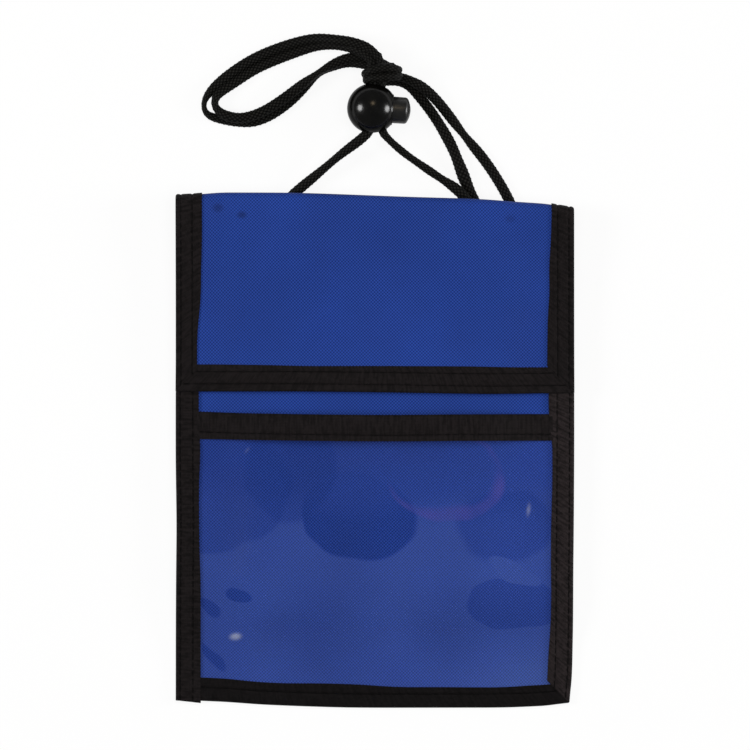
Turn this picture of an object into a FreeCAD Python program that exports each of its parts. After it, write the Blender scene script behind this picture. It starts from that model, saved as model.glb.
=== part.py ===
import FreeCAD, Part
import math
import os
from FreeCAD import Vector

os.makedirs("parts", exist_ok=True)

# Neck wallet for a badge, lying on its back. All lengths are millimetres.
# X runs to the right across the front, Y up towards the flap's fold, Z out of the front.
# The origin is on the table under the middle of the wallet.

# Overall sizes
WALLET_WIDTH = 140.0
WALLET_HEIGHT = 180.0

# Sheet goods
CLOTH = 0.5
CLEAR_SHEET = 0.35
TAPE = 0.5
TAPE_WIDTH = 8.5
FIT_GAP = 0.3
OVERRUN = 5.0
LEVEL = 0.001

# The pouch: its lower end lies on the table, the rest rides over the cord
RIDE_HEIGHT = 4.0
DROOP_FROM = 9.0
DROOP_LENGTH = 37.0
DROOP_STEPS = 6
MARGIN = 20.0
MAIN_POCKET_ROOM = 1.0
BADGE_POCKET_ROOM = 4.8
MOUTH_HEIGHT = 150.0
HEM_WIDTH = 8.0
WINDOW_HEIGHT = 102.2
BACK_LIP = 1.0
SIDE_TAPE_SETBACK = 0.6

# The flap and its fold
FOLD_INNER_RADIUS = 2.0
FLAP_EDGE_HEIGHT = 110.0
CLOSURE_HEIGHT = 16.0
CLOSURE_WIDTH = 80.0
CLOSURE_CORNER = 2.0
CLOSURE_THICKNESS = 1.0
HOOK_INSET = 1.0
# Places down the flap, from its fold to the top of the closure, and how far it has come down there
FLAP_PLACE_SHARES = (0.0, 0.12, 0.33, 0.66, 1.0)
FLAP_SIDE_DROP_SHARES = (0.0, 0.12, 0.45, 0.9, 1.0)
FLAP_MIDDLE_DROP_SHARES = (0.0, 0.04, 0.33, 0.8, 1.0)

# The neck cord, its eyelets and its stopper knots
CORD = 3.0
CORD_CLEARANCE = 0.25
EYELET_FROM_TOP = 14.0
EYELET_FROM_MIDDLE = 38.0
EYELET_WALL = 0.4
EYELET_FLANGE_RADIUS = 4.5
EYELET_FLANGE = 0.35
EYELET_FLANGE_ROLL = 0.15
WASHER_RADIUS = 4.2
WASHER = 0.35
KNOT_RADIUS = 3.8
KNOT_HEIGHT = 3.2
KNOT_FLAT_RADIUS = 2.4

# The cord lock: a ball with a spring button across the cord
BALL_RADIUS = 8.1
BALL_BACK_ALONG_CORD = 1.0
BALL_OFF_CORD = 1.5
CORD_HOLE_CLEARANCE = 0.15
CORD_HOLE_FLARE = 1.1
CORD_HOLE_FLARE_DEPTH = 4.0
BUTTON_RADIUS = 4.7
BUTTON_REACH = 13.7
BUTTON_DOME = 0.9
BUTTON_EDGE = 0.8
BUTTON_CLEARANCE = 0.12
BUTTON_TRAVEL = 2.2
BUTTON_PINCH_WALL = 1.4
BUTTON_BOTTOM_ROOM = 0.3
RIM_WIDTH = 0.5
RIM_HEIGHT = 0.45
SPRING_RADIUS = 2.0
SPRING_WIRE = 0.5
SPRING_TURNS = 3
SPRING_POCKET_DEPTH = 1.7
SPRING_SEAT = 0.05

# The cord's route, from the left eyelet round to the right eyelet, point by point
LEFT_LEG = [
    (-38.0, 76.0, 5.35), (-38.0, 76.0, 3.15), (-37.45, 77.55, 1.6), (-36.2, 80.8, 1.6),
    (-33.4, 85.4, 1.9), (-28.4, 90.4, 2.6), (-21.0, 97.6, 4.2), (-12.6, 104.2, 6.2),
    (-4.9, 109.6, 7.8), (-1.92, 113.42, 8.1), (-0.80, 129.38, 8.1),
]
RIGHT_LEG = [
    (38.0, 76.0, 5.35), (38.0, 76.0, 3.15), (37.55, 77.6, 1.6), (36.5, 80.9, 1.7),
    (34.6, 85.6, 2.2), (32.2, 89.4, 2.8), (28.6, 92.8, 3.4), (22.6, 96.5, 4.6),
    (16.3, 100.2, 5.9), (9.8, 104.2, 7.2), (4.7, 108.4, 7.9), (1.17, 113.21, 8.1),
    (2.29, 129.17, 8.1),
]
LEFT_LOOP = [
    (-0.80, 129.38, 8.1), (-0.597, 132.273, 8.1), (-1.5, 136.6, 8.2), (-5.0, 140.0, 8.0),
    (-9.8, 141.6, 6.8), (-14.8, 142.4, 5.0), (-20.6, 142.2, 3.2), (-27.2, 140.7, 2.0),
    (-35.4, 137.8, 1.5), (-43.0, 134.2, 1.5), (-50.2, 129.3, 1.5), (-54.6, 125.4, 1.5),
    (-56.4, 122.4, 1.5), (-56.1, 119.7, 1.5), (-53.6, 118.0, 1.5), (-49.0, 117.6, 1.5),
    (-44.2, 118.3, 1.5), (-39.4, 119.9, 1.5), (-35.0, 122.5, 1.5), (-30.6, 126.0, 1.7),
    (-26.2, 129.8, 2.2), (-21.2, 134.2, 3.0), (-16.4, 137.2, 3.9), (-11.2, 138.9, 4.6),
    (-5.8, 139.35, 4.85),
]
RIGHT_LOOP = [
    (2.29, 129.17, 8.1), (2.493, 132.063, 8.1), (2.1, 137.2, 8.2), (-1.3, 141.6, 8.2),
    (-7.6, 144.5, 7.2), (-14.4, 145.6, 5.4), (-21.0, 145.5, 3.4), (-28.2, 143.8, 2.1),
    (-36.8, 140.8, 1.5), (-44.8, 137.1, 1.5), (-52.3, 132.0, 1.5), (-57.7, 127.0, 1.5),
    (-60.0, 122.6, 1.5), (-59.4, 118.3, 1.5), (-55.6, 115.2, 1.5), (-49.6, 114.3, 1.5),
    (-43.6, 114.9, 1.5), (-37.9, 116.9, 1.5), (-33.0, 119.9, 1.5), (-28.6, 123.4, 1.7),
    (-24.0, 127.4, 2.2), (-19.4, 131.4, 3.0), (-15.0, 134.1, 3.9), (-10.4, 135.7, 4.6),
    (-5.6, 136.15, 4.85),
]
# Each tail starts with a round turn about the neck above the ball, then runs back behind the wallet
LEFT_TAIL = [
    (-5.8, 139.35, 4.85), (-1.3, 139.725, 5.058), (3.2, 139.2, 4.9), (6.8, 138.5, 5.9),
    (7.9, 137.7, 8.1), (6.8, 136.9, 10.4), (3.4, 136.0, 11.5), (-0.8, 135.4, 11.5),
    (-4.2, 134.8, 10.5), (-5.3, 134.0, 8.1), (-4.2, 133.2, 5.7), (-0.8, 132.85, 4.7),
    (4.0, 132.5, 4.5), (8.6, 131.8, 4.2), (13.4, 129.8, 3.8), (17.8, 127.0, 3.1),
    (22.3, 122.4, 2.3), (27.4, 116.0, 1.6), (33.0, 109.4, 1.5), (38.4, 103.0, 1.5),
    (43.2, 96.0, 1.5), (47.4, 88.6, 1.5), (50.8, 80.6, 1.5), (53.0, 71.6, 1.5),
    (54.0, 57.0, 1.5), (53.4, 37.0, 1.5), (50.4, 16.0, 1.5), (43.0, -4.0, 1.5),
    (29.0, -20.0, 1.5), (10.0, -29.0, 1.5), (-11.0, -29.6, 1.5), (-20.5, -24.8, 1.5),
]
RIGHT_TAIL = [
    (-5.6, 136.15, 4.85), (-1.12, 136.57, 5.083), (3.2, 136.0, 4.9), (6.8, 135.2, 6.0),
    (7.9, 134.4, 8.1), (6.8, 133.6, 10.4), (3.4, 132.8, 11.5), (-0.8, 132.1, 11.5),
    (-4.2, 131.5, 10.5), (-5.3, 130.7, 8.1), (-4.2, 129.9, 5.7), (-0.8, 129.65, 4.7),
    (4.0, 129.2, 4.7), (8.4, 128.2, 4.4), (12.2, 126.2, 3.9), (15.7, 123.2, 3.1),
    (19.4, 119.0, 2.3), (23.6, 112.8, 1.6), (27.8, 106.4, 1.5), (31.2, 99.8, 1.5),
    (33.9, 93.8, 1.5), (36.6, 88.4, 1.5), (39.4, 82.6, 1.5), (42.0, 76.4, 1.5),
    (42.8, 69.6, 1.5), (40.4, 62.8, 1.5), (33.8, 58.0, 1.5), (23.0, 55.2, 1.5),
    (8.0, 52.8, 1.5), (-8.0, 49.2, 1.5), (-23.0, 42.6, 1.5), (-35.0, 31.0, 1.5),
    (-41.2, 14.0, 1.5), (-40.0, -5.0, 1.5), (-30.0, -20.0, 1.5), (-20.5, -24.8, 1.5),
]

# Places and heights that follow from the sizes
HALF_WIDTH = WALLET_WIDTH / 2
HALF_HEIGHT = WALLET_HEIGHT / 2
CLOTH_EDGE = HALF_WIDTH - TAPE
TAPE_INNER = HALF_WIDTH - TAPE_WIDTH
BOTTOM = TAPE - HALF_HEIGHT
STACK = CLOTH + CLOTH + CLEAR_SHEET
POUCH_SIDE_TOP = STACK + TAPE
FOLD_OUTER_RADIUS = FOLD_INNER_RADIUS + CLOTH
FOLD_TAPE_RADIUS = FOLD_OUTER_RADIUS + TAPE
BACK_REAR = TAPE + RIDE_HEIGHT
BACK_FRONT = BACK_REAR + CLOTH
FRONT_LOW = BACK_FRONT + MAIN_POCKET_ROOM
FRONT_TOP = FRONT_LOW + CLOTH
WINDOW_LOW = FRONT_TOP + BADGE_POCKET_ROOM
FOLD_Y = HALF_HEIGHT - FOLD_TAPE_RADIUS
FOLD_Z = BACK_FRONT + FIT_GAP + FOLD_TAPE_RADIUS
FLAP_ROOT_LOW = FOLD_Z + FOLD_INNER_RADIUS
FLAP_SIDE_LOW = BACK_REAR + POUCH_SIDE_TOP + FIT_GAP + TAPE
FLAP_MIDDLE_LOW = FRONT_TOP + CLOSURE_THICKNESS + FIT_GAP + CLOSURE_THICKNESS
FLAP_EDGE_Y = BOTTOM + FLAP_EDGE_HEIGHT
FLAP_TAPE_TOP_Y = FLAP_EDGE_Y - TAPE + TAPE_WIDTH
HOOK_LOW_Y = FLAP_TAPE_TOP_Y + HOOK_INSET
CLOSURE_TOP_Y = HOOK_LOW_Y + CLOSURE_HEIGHT


def save(shape, node):
    """Write one node's solids and say what was made."""
    shape.exportStep("parts/" + node + ".step")
    print(node, "solids", len(shape.Solids), "valid", shape.isValid(), "volume", round(shape.Volume, 2))


def box(x, y, z):
    """A box between pairs of X, Y and Z."""
    corner = Vector(x[0], y[0], z[0])
    return Part.makeBox(x[1] - x[0], y[1] - y[0], z[1] - z[0], corner)


def s_curve(share):
    """Height share of an S made of two equal arcs, at a share of its length."""
    return 2 * share * share if share < 0.5 else 1 - 2 * (1 - share) * (1 - share)


def lift(y):
    """How much of the full height the pouch has at Y, from 0 on the table to 1."""
    share = (y - BOTTOM - DROOP_FROM) / DROOP_LENGTH
    return s_curve(min(max(share, 0.0), 1.0))


def rear(y):
    """Height of the back panel's rear face at Y."""
    return TAPE + RIDE_HEIGHT * lift(y)


def stations(low, high):
    """The places along Y where a sheet's section is drawn."""
    droop = [BOTTOM + DROOP_FROM + DROOP_LENGTH * step / DROOP_STEPS for step in range(DROOP_STEPS + 1)]
    return [low] + [y for y in droop if low < y < high] + [high]


def margin_arcs(x_low, z_low, x_high, z_high, y):
    """The two tangent arcs of an S from a seam up to the crown, or two lines if it is level."""
    run = x_high - x_low
    rise = z_high - z_low
    middle = Vector((x_low + x_high) / 2, y, (z_low + z_high) / 2)
    start = Vector(x_low, y, z_low)
    end = Vector(x_high, y, z_high)
    if rise < LEVEL:
        return [(start, None, middle), (middle, None, end)]
    radius = (run * run + rise * rise) / (4 * rise)
    half_angle = math.asin(run / (2 * radius)) / 2
    step_x = radius * math.sin(half_angle)
    step_z = radius * (1 - math.cos(half_angle))
    first = Vector(x_low + step_x, y, z_low + step_z)
    second = Vector(x_high - step_x, y, z_high - step_z)
    return [(start, first, middle), (middle, second, end)]


def crown_line(y, edge, side, rise):
    """A section's line across the wallet: flat seams, S margins and a flat crown."""
    crown = TAPE_INNER - MARGIN
    top = side + rise
    left = margin_arcs(-TAPE_INNER, side, -crown, top, y)
    flat = [(Vector(-crown, y, top), None, Vector(crown, y, top))]
    right = [(mirror(c), mirror(b), mirror(a)) for a, b, c in reversed(left)]
    if edge <= TAPE_INNER:
        return left + flat + right
    seam = [(Vector(-edge, y, side), None, Vector(-TAPE_INNER, y, side))]
    other = [(Vector(TAPE_INNER, y, side), None, Vector(edge, y, side))]
    return seam + left + flat + right + other


def mirror(point):
    """A point on the other side of the wallet's middle."""
    return point and Vector(-point.x, point.y, point.z)


def edge_of(piece):
    """A line or an arc from its end points and its middle."""
    start, middle, end = piece
    if middle is None:
        return Part.LineSegment(start, end).toShape()
    return Part.Arc(start, middle, end).toShape()


def crown_section(y, edge, low, high, rise):
    """The closed outline of a crowned sheet at Y."""
    under = crown_line(y, edge, low, rise)
    over = [(c, b, a) for a, b, c in reversed(crown_line(y, edge, high, rise))]
    right = (under[-1][2], None, over[0][0])
    left = (over[-1][2], None, under[0][0])
    return Part.Wire([edge_of(piece) for piece in under + [right] + over + [left]])


def pouch_sheet(low_y, high_y, edge, low, high, rise):
    """A sheet of the pouch: low and high are heights over the rear face at the seams."""
    wires = []
    for y in stations(low_y, high_y):
        base = rear(y)
        wires.append(crown_section(y, edge, base + low, base + high, rise * lift(y)))
    return Part.makeLoft(wires, True, True)


def side_strip(x, low_y, high_y, low, high):
    """A strip along the pouch's side between two X and two heights over the rear face."""
    wires = []
    for y in stations(low_y, high_y):
        base = rear(y)
        corners = [
            Vector(x[0], y, base + low),
            Vector(x[1], y, base + low),
            Vector(x[1], y, base + high),
            Vector(x[0], y, base + high),
        ]
        wires.append(Part.makePolygon(corners + corners[:1]))
    return Part.makeLoft(wires, True, True)


def eyelet_places():
    """The two eyelets' centres, on the back panel's rear face."""
    y = HALF_HEIGHT - EYELET_FROM_TOP
    left = Vector(-EYELET_FROM_MIDDLE, y, BACK_REAR)
    return {"left": left, "right": mirror(left)}


def cylinder(place, radius, low, high):
    """An upright cylinder between two heights above a place."""
    return Part.makeCylinder(radius, high - low, place + Vector(0, 0, low))


# The pouch's three sheets

BARREL_RADIUS = CORD / 2 + CORD_CLEARANCE + EYELET_WALL


def back_panel():
    sheet = pouch_sheet(BOTTOM, FOLD_Y + BACK_LIP, CLOTH_EDGE, 0, CLOTH, 0)
    for place in eyelet_places().values():
        sheet = sheet.cut(cylinder(place, BARREL_RADIUS, -OVERRUN, OVERRUN))
    return sheet


def front_panel():
    """The panel behind the window, with a folded hem along the main pocket's mouth."""
    mouth = BOTTOM + MOUTH_HEIGHT
    sheet = pouch_sheet(BOTTOM, mouth, CLOTH_EDGE, CLOTH, CLOTH + CLOTH, MAIN_POCKET_ROOM)
    top = CLOTH + CLOTH
    hem = pouch_sheet(mouth - HEM_WIDTH, mouth, TAPE_INNER, top, top + CLOTH, MAIN_POCKET_ROOM)
    return sheet.fuse(hem).removeSplitter()


WINDOW_RISE = WINDOW_LOW - BACK_REAR - CLOTH - CLOTH


def window_sheet():
    return pouch_sheet(BOTTOM, BOTTOM + WINDOW_HEIGHT, CLOTH_EDGE, CLOTH + CLOTH, STACK, WINDOW_RISE)


# The binding tapes, each folded over an edge

def window_top_tape(window, front):
    """The tape on the badge pocket's mouth; at the seams its inner leg runs out on the front panel."""
    top = BOTTOM + WINDOW_HEIGHT + TAPE
    low = CLOTH + CLOTH - TAPE
    tape = pouch_sheet(top - TAPE_WIDTH, top, TAPE_INNER, low, POUCH_SIDE_TOP, WINDOW_RISE)
    return tape.cut(window).cut(front)


def side_tape(sign):
    """A tape folded over one long side of the pouch."""
    top = FOLD_Y - FOLD_TAPE_RADIUS - SIDE_TAPE_SETBACK
    outer = sorted((sign * HALF_WIDTH, sign * TAPE_INNER))
    channel = sorted((sign * CLOTH_EDGE, sign * (TAPE_INNER - OVERRUN)))
    tape = side_strip(outer, -HALF_HEIGHT, top, -TAPE, POUCH_SIDE_TOP)
    return tape.cut(side_strip(channel, BOTTOM, top + OVERRUN, 0, STACK))


def mitre(sign):
    """A wedge over the lower right corner, right of the mitre for 1 and below it for -1."""
    corner = Vector(HALF_WIDTH, -HALF_HEIGHT, -OVERRUN)
    inner = Vector(TAPE_INNER, TAPE_WIDTH - HALF_HEIGHT, -OVERRUN)
    low = corner + corner - inner
    high = inner + inner - corner
    apex = Vector(low.x, high.y, low.z) if sign > 0 else Vector(high.x, low.y, low.z)
    wedge = Part.Face(Part.makePolygon([low, high, apex, low]))
    return wedge.extrude(Vector(0, 0, OVERRUN + OVERRUN))


def bottom_tape():
    x = (-TAPE_INNER, HALF_WIDTH)
    y = (-HALF_HEIGHT, TAPE_WIDTH - HALF_HEIGHT)
    tape = box(x, y, (0, TAPE + POUCH_SIDE_TOP))
    channel = box((x[0] - OVERRUN, CLOTH_EDGE), (BOTTOM, y[1] + OVERRUN), (TAPE, TAPE + STACK))
    return tape.cut(channel)


# The flap: cloth rolled over the fold, its tape and the two halves of the closure

def flap_levels():
    """Places down the flap with the height of its underside at the sides and in the middle."""
    levels = []
    for place, side, middle in zip(FLAP_PLACE_SHARES, FLAP_SIDE_DROP_SHARES, FLAP_MIDDLE_DROP_SHARES):
        y = FOLD_Y + place * (CLOSURE_TOP_Y - FOLD_Y)
        side_z = FLAP_ROOT_LOW + side * (FLAP_SIDE_LOW - FLAP_ROOT_LOW)
        middle_z = FLAP_ROOT_LOW + middle * (FLAP_MIDDLE_LOW - FLAP_ROOT_LOW)
        levels.append((y, side_z, middle_z))
    return levels


def flap_sheet(edge, edge_y, below, above):
    """The flap's cloth, or its space with a tape's thickness below and above."""
    levels = flap_levels() + [(edge_y, FLAP_SIDE_LOW, FLAP_MIDDLE_LOW)]
    wires = []
    for y, side, middle in levels:
        wires.append(crown_section(y, edge, side - below, side + CLOTH + above, middle - side))
    return Part.makeLoft(wires, True, True)


def fold_roll(half, inner, outer):
    """Half a tube about the fold's line, open towards the flap."""
    start = Vector(-half, FOLD_Y, FOLD_Z)
    roll = Part.makeCylinder(outer, half + half, start, Vector(1, 0, 0))
    bore = Part.makeCylinder(inner, half + half, start, Vector(1, 0, 0))
    front = box((-half, half), (FOLD_Y - outer, FOLD_Y), (FOLD_Z - outer, FOLD_Z + outer))
    return roll.cut(bore).cut(front)


def flap_panel():
    sheet = flap_sheet(CLOTH_EDGE, FLAP_EDGE_Y, 0, 0)
    return sheet.fuse(fold_roll(CLOTH_EDGE, FOLD_INNER_RADIUS, FOLD_OUTER_RADIUS)).removeSplitter()


def flap_tape(panel):
    space = flap_sheet(HALF_WIDTH, FLAP_EDGE_Y - TAPE, TAPE, TAPE)
    space = space.fuse(fold_roll(HALF_WIDTH, FOLD_INNER_RADIUS - TAPE, FOLD_TAPE_RADIUS))
    middle = box(
        (-TAPE_INNER, TAPE_INNER),
        (FLAP_TAPE_TOP_Y, HALF_HEIGHT + OVERRUN),
        (-OVERRUN, FOLD_Z + FOLD_TAPE_RADIUS + OVERRUN),
    )
    return space.cut(middle).cut(panel)


def closure_strip(inset, low):
    """One half of the hook and loop closure, with rounded corners."""
    half = CLOSURE_WIDTH / 2 - inset
    y = (HOOK_LOW_Y + inset, CLOSURE_TOP_Y - inset)
    strip = box((-half, half), y, (low, low + CLOSURE_THICKNESS))
    upright = [edge for edge in strip.Edges if edge.Curve.Direction.cross(Vector(0, 0, 1)).Length == 0]
    return strip.makeFillet(CLOSURE_CORNER, upright)


# Eyelets and stopper knots

def turned(profile, place):
    """A body turned about an upright line through a place, from points of radius and height."""
    points = [place + Vector(radius, 0, height) for radius, height in profile]
    face = Part.Face(Part.makePolygon(points + points[:1]))
    return face.revolve(place, Vector(0, 0, 1), 360)


def eyelet(place):
    """A flanged barrel pressed through the back panel from behind."""
    bore = CORD / 2 + CORD_CLEARANCE
    top = CLOTH + WASHER
    profile = [
        (bore, -EYELET_FLANGE),
        (EYELET_FLANGE_RADIUS - EYELET_FLANGE_ROLL, -EYELET_FLANGE),
        (EYELET_FLANGE_RADIUS, EYELET_FLANGE_ROLL - EYELET_FLANGE),
        (EYELET_FLANGE_RADIUS, 0),
        (BARREL_RADIUS, 0),
        (BARREL_RADIUS, top),
        (bore, top),
    ]
    return turned(profile, place)


def washer(place):
    ring = cylinder(place, WASHER_RADIUS, CLOTH, CLOTH + WASHER)
    return ring.cut(cylinder(place, BARREL_RADIUS, 0, CLOTH + WASHER + OVERRUN))


def stopper_knot(place):
    """The pulled down knot at the cord's end, a round bun on the washer."""
    low = CLOTH + WASHER
    axis = place + Vector(0, 0, low)
    foot = axis + Vector(KNOT_FLAT_RADIUS, 0, 0)
    waist = axis + Vector(KNOT_RADIUS, 0, KNOT_HEIGHT / 2)
    crown = axis + Vector(KNOT_FLAT_RADIUS, 0, KNOT_HEIGHT)
    peak = axis + Vector(0, 0, KNOT_HEIGHT)
    outline = [
        Part.LineSegment(axis, foot).toShape(),
        Part.Arc(foot, waist, crown).toShape(),
        Part.LineSegment(crown, peak).toShape(),
        Part.LineSegment(peak, axis).toShape(),
    ]
    return Part.Face(Part.Wire(outline)).revolve(axis, Vector(0, 0, 1), 360)


# The cord lock, in a frame of its own: across the cord, along the cord and up

STRAND_LOW = (Vector(*LEFT_LEG[-2]), Vector(*RIGHT_LEG[-2]))
STRAND_HIGH = (Vector(*LEFT_LEG[-1]), Vector(*RIGHT_LEG[-1]))
ALONG = (STRAND_HIGH[0] - STRAND_LOW[0]).normalize()
ACROSS = ALONG.cross(Vector(0, 0, 1))
STRAND_MIDDLE = (STRAND_LOW[0] + STRAND_LOW[1] + STRAND_HIGH[0] + STRAND_HIGH[1]) / 4
BALL_CENTRE = STRAND_MIDDLE - ALONG * BALL_BACK_ALONG_CORD - ACROSS * BALL_OFF_CORD
STRAND_SPACING = (STRAND_HIGH[1] - STRAND_HIGH[0]).dot(ACROSS)
HOLE_HALF_WIDTH = STRAND_SPACING / 2 + CORD / 2 + CORD_HOLE_CLEARANCE
HOLE_HALF_HEIGHT = CORD / 2 + CORD_HOLE_CLEARANCE
HOLE_LOW = BALL_OFF_CORD - HOLE_HALF_WIDTH
HOLE_HIGH = BALL_OFF_CORD + HOLE_HALF_WIDTH
BUTTON_INNER = HOLE_LOW - BUTTON_PINCH_WALL
BORE_RADIUS = BUTTON_RADIUS + BUTTON_CLEARANCE
BORE_BOTTOM = BUTTON_INNER - BUTTON_TRAVEL - BUTTON_BOTTOM_ROOM


def lock_placed(shape):
    """A body drawn with X across and Y along the cord, moved to the lock's place."""
    turn = FreeCAD.Rotation(Vector(1, 0, 0), ACROSS)
    shape.Placement = FreeCAD.Placement(BALL_CENTRE, turn).multiply(shape.Placement)
    return shape


def cross_cylinder(radius, low, high):
    return Part.makeCylinder(radius, high - low, Vector(low, 0, 0), Vector(1, 0, 0))


def hole_section(y, spread):
    """The cord hole's outline at Y, wider by the spread."""
    low, high = HOLE_LOW - spread, HOLE_HIGH + spread
    tall = HOLE_HALF_HEIGHT + spread
    corners = [Vector(low, y, -tall), Vector(high, y, -tall), Vector(high, y, tall), Vector(low, y, tall)]
    return Part.makePolygon(corners + corners[:1])


def cord_hole():
    """The hole for the two strands, flared at both mouths."""
    mouth = BALL_RADIUS + OVERRUN
    flare_from = BALL_RADIUS - CORD_HOLE_FLARE_DEPTH
    spread = CORD_HOLE_FLARE * (mouth - flare_from) / CORD_HOLE_FLARE_DEPTH
    wires = [
        hole_section(-mouth, spread),
        hole_section(-flare_from, 0),
        hole_section(flare_from, 0),
        hole_section(mouth, spread),
    ]
    return Part.makeLoft(wires, True, True)


def lock_ball():
    ball = Part.makeSphere(BALL_RADIUS)
    mouth = math.sqrt(BALL_RADIUS * BALL_RADIUS - (BORE_RADIUS + RIM_WIDTH) * (BORE_RADIUS + RIM_WIDTH))
    rim = cross_cylinder(BORE_RADIUS + RIM_WIDTH, 0, mouth + RIM_HEIGHT)
    ball = ball.fuse(rim)
    ball = ball.cut(cross_cylinder(BORE_RADIUS, BORE_BOTTOM, BALL_RADIUS + OVERRUN))
    pocket_end = BORE_BOTTOM - SPRING_POCKET_DEPTH
    pocket = cross_cylinder(SPRING_RADIUS + SPRING_WIRE, pocket_end, BORE_BOTTOM + OVERRUN)
    return ball.cut(pocket).cut(cord_hole()).removeSplitter()


def lock_button():
    """The spring button: a domed plug with a slot that the cord runs through."""
    start = Vector(BUTTON_INNER, 0, 0)
    inner = Vector(BUTTON_INNER, BUTTON_RADIUS, 0)
    shoulder = Vector(BUTTON_REACH - BUTTON_DOME - BUTTON_EDGE, BUTTON_RADIUS, 0)
    corner = Vector(BUTTON_REACH - BUTTON_DOME, BUTTON_RADIUS - BUTTON_EDGE, 0)
    peak = Vector(BUTTON_REACH, 0, 0)
    dome_radius = (corner.y * corner.y + BUTTON_DOME * BUTTON_DOME) / (2 * BUTTON_DOME)
    lean = math.asin(corner.y / dome_radius) / 2
    dome = peak + Vector(dome_radius * (math.cos(lean) - 1), dome_radius * math.sin(lean), 0)
    turn = math.pi / 4
    rounding = shoulder + Vector(BUTTON_EDGE * math.sin(turn), BUTTON_EDGE * (math.cos(turn) - 1), 0)
    outline = [
        Part.LineSegment(start, inner).toShape(),
        Part.LineSegment(inner, shoulder).toShape(),
        Part.Arc(shoulder, rounding, corner).toShape(),
        Part.Arc(corner, dome, peak).toShape(),
        Part.LineSegment(peak, start).toShape(),
    ]
    plug = Part.Face(Part.Wire(outline)).revolve(Vector(0, 0, 0), Vector(1, 0, 0), 360)
    slot = box(
        (HOLE_LOW, HOLE_HIGH + BUTTON_TRAVEL),
        (-BUTTON_RADIUS - OVERRUN, BUTTON_RADIUS + OVERRUN),
        (-HOLE_HALF_HEIGHT, HOLE_HALF_HEIGHT),
    )
    return plug.cut(slot)


def lock_spring():
    """A few turns of wire between the ball's pocket and the button."""
    low = BORE_BOTTOM - SPRING_POCKET_DEPTH + SPRING_WIRE / 2 + SPRING_SEAT
    high = BUTTON_INNER - SPRING_WIRE / 2 - SPRING_SEAT
    helix = Part.makeHelix((high - low) / SPRING_TURNS, high - low, SPRING_RADIUS)
    circle = Part.Circle(Vector(SPRING_RADIUS, 0, 0), Vector(0, 1, 0), SPRING_WIRE / 2)
    section = Part.Wire(circle.toShape())
    wire = Part.Wire(helix.Edges).makePipeShell([section], True, True)
    wire.rotate(Vector(0, 0, 0), Vector(0, 1, 0), 90)
    wire.translate(Vector(low, 0, 0))
    return wire


# The cord: straight runs joined by the largest arcs that fit

ARC_RUN_SHARE = 0.45


def cord_tube(points, node):
    """A round tube along a route, with its radii and its volume printed."""
    route = [Vector(*point) for point in points]
    edges = []
    radii = []
    start = route[0]
    for before, corner, after in zip(route, route[1:], route[2:]):
        back = before - corner
        on = after - corner
        half_turn = (math.pi - back.getAngle(on)) / 2
        reach = ARC_RUN_SHARE * min(back.Length, on.Length)
        radius = reach / math.tan(half_turn)
        radii.append(round(radius, 1))
        enter = corner + back * (reach / back.Length)
        leave = corner + on * (reach / on.Length)
        inward = ((enter + leave) / 2 - corner).normalize()
        middle = corner + inward * (radius / math.cos(half_turn) - radius)
        edges.append(Part.LineSegment(start, enter).toShape())
        edges.append(Part.Arc(enter, middle, leave).toShape())
        start = leave
    edges.append(Part.LineSegment(start, route[-1]).toShape())
    path = Part.Wire(edges)
    section = Part.Wire(Part.Circle(route[0], route[1] - route[0], CORD / 2).toShape())
    tube = path.makePipeShell([section], True, False)
    expected = path.Length * math.pi * CORD * CORD / 4
    share = round(tube.Volume / expected, 4)
    print(node, "length", round(path.Length, 1), "volume share", share, "radii", radii)
    return tube


def main():
    front = front_panel()
    window = window_sheet()
    flap = flap_panel()
    save(back_panel(), "back_panel")
    save(front, "front_panel")
    save(window, "window_sheet")
    save(window_top_tape(window, front), "window_top_binding")
    save(side_tape(-1), "left_binding")
    save(side_tape(1).cut(mitre(-1)), "right_binding")
    save(bottom_tape().cut(mitre(1)), "bottom_binding")
    save(flap, "flap_panel")
    save(flap_tape(flap), "flap_binding")
    save(closure_strip(0, FRONT_TOP), "loop_strip")
    save(closure_strip(HOOK_INSET, FLAP_MIDDLE_LOW - CLOSURE_THICKNESS), "hook_strip")
    for side, place in eyelet_places().items():
        save(eyelet(place), side + "_eyelet")
        save(washer(place), side + "_eyelet_washer")
        save(stopper_knot(place), side + "_stopper_knot")
    save(lock_placed(lock_ball()), "cord_lock_ball")
    save(lock_placed(lock_button()), "cord_lock_button")
    save(lock_placed(lock_spring()), "cord_lock_spring")
    routes = {
        "neck_cord_left_leg": LEFT_LEG,
        "neck_cord_right_leg": RIGHT_LEG,
        "neck_cord_left_loop": LEFT_LOOP,
        "neck_cord_right_loop": RIGHT_LOOP,
        "neck_cord_left_tail": LEFT_TAIL,
        "neck_cord_right_tail": RIGHT_TAIL,
    }
    for node, points in routes.items():
        save(cord_tube(points, node), node)


main()
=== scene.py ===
# %% [markdown]
# # A badge wallet on a neck cord
# The real thing is a flat cloth pouch with taped edges, a clear badge pocket, a flap that folds
# over the top, and a braided cord that runs through a spring ball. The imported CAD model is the
# skeleton: it holds the sizes and the two moving bodies. This lesson dresses it, piece by piece.

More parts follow.
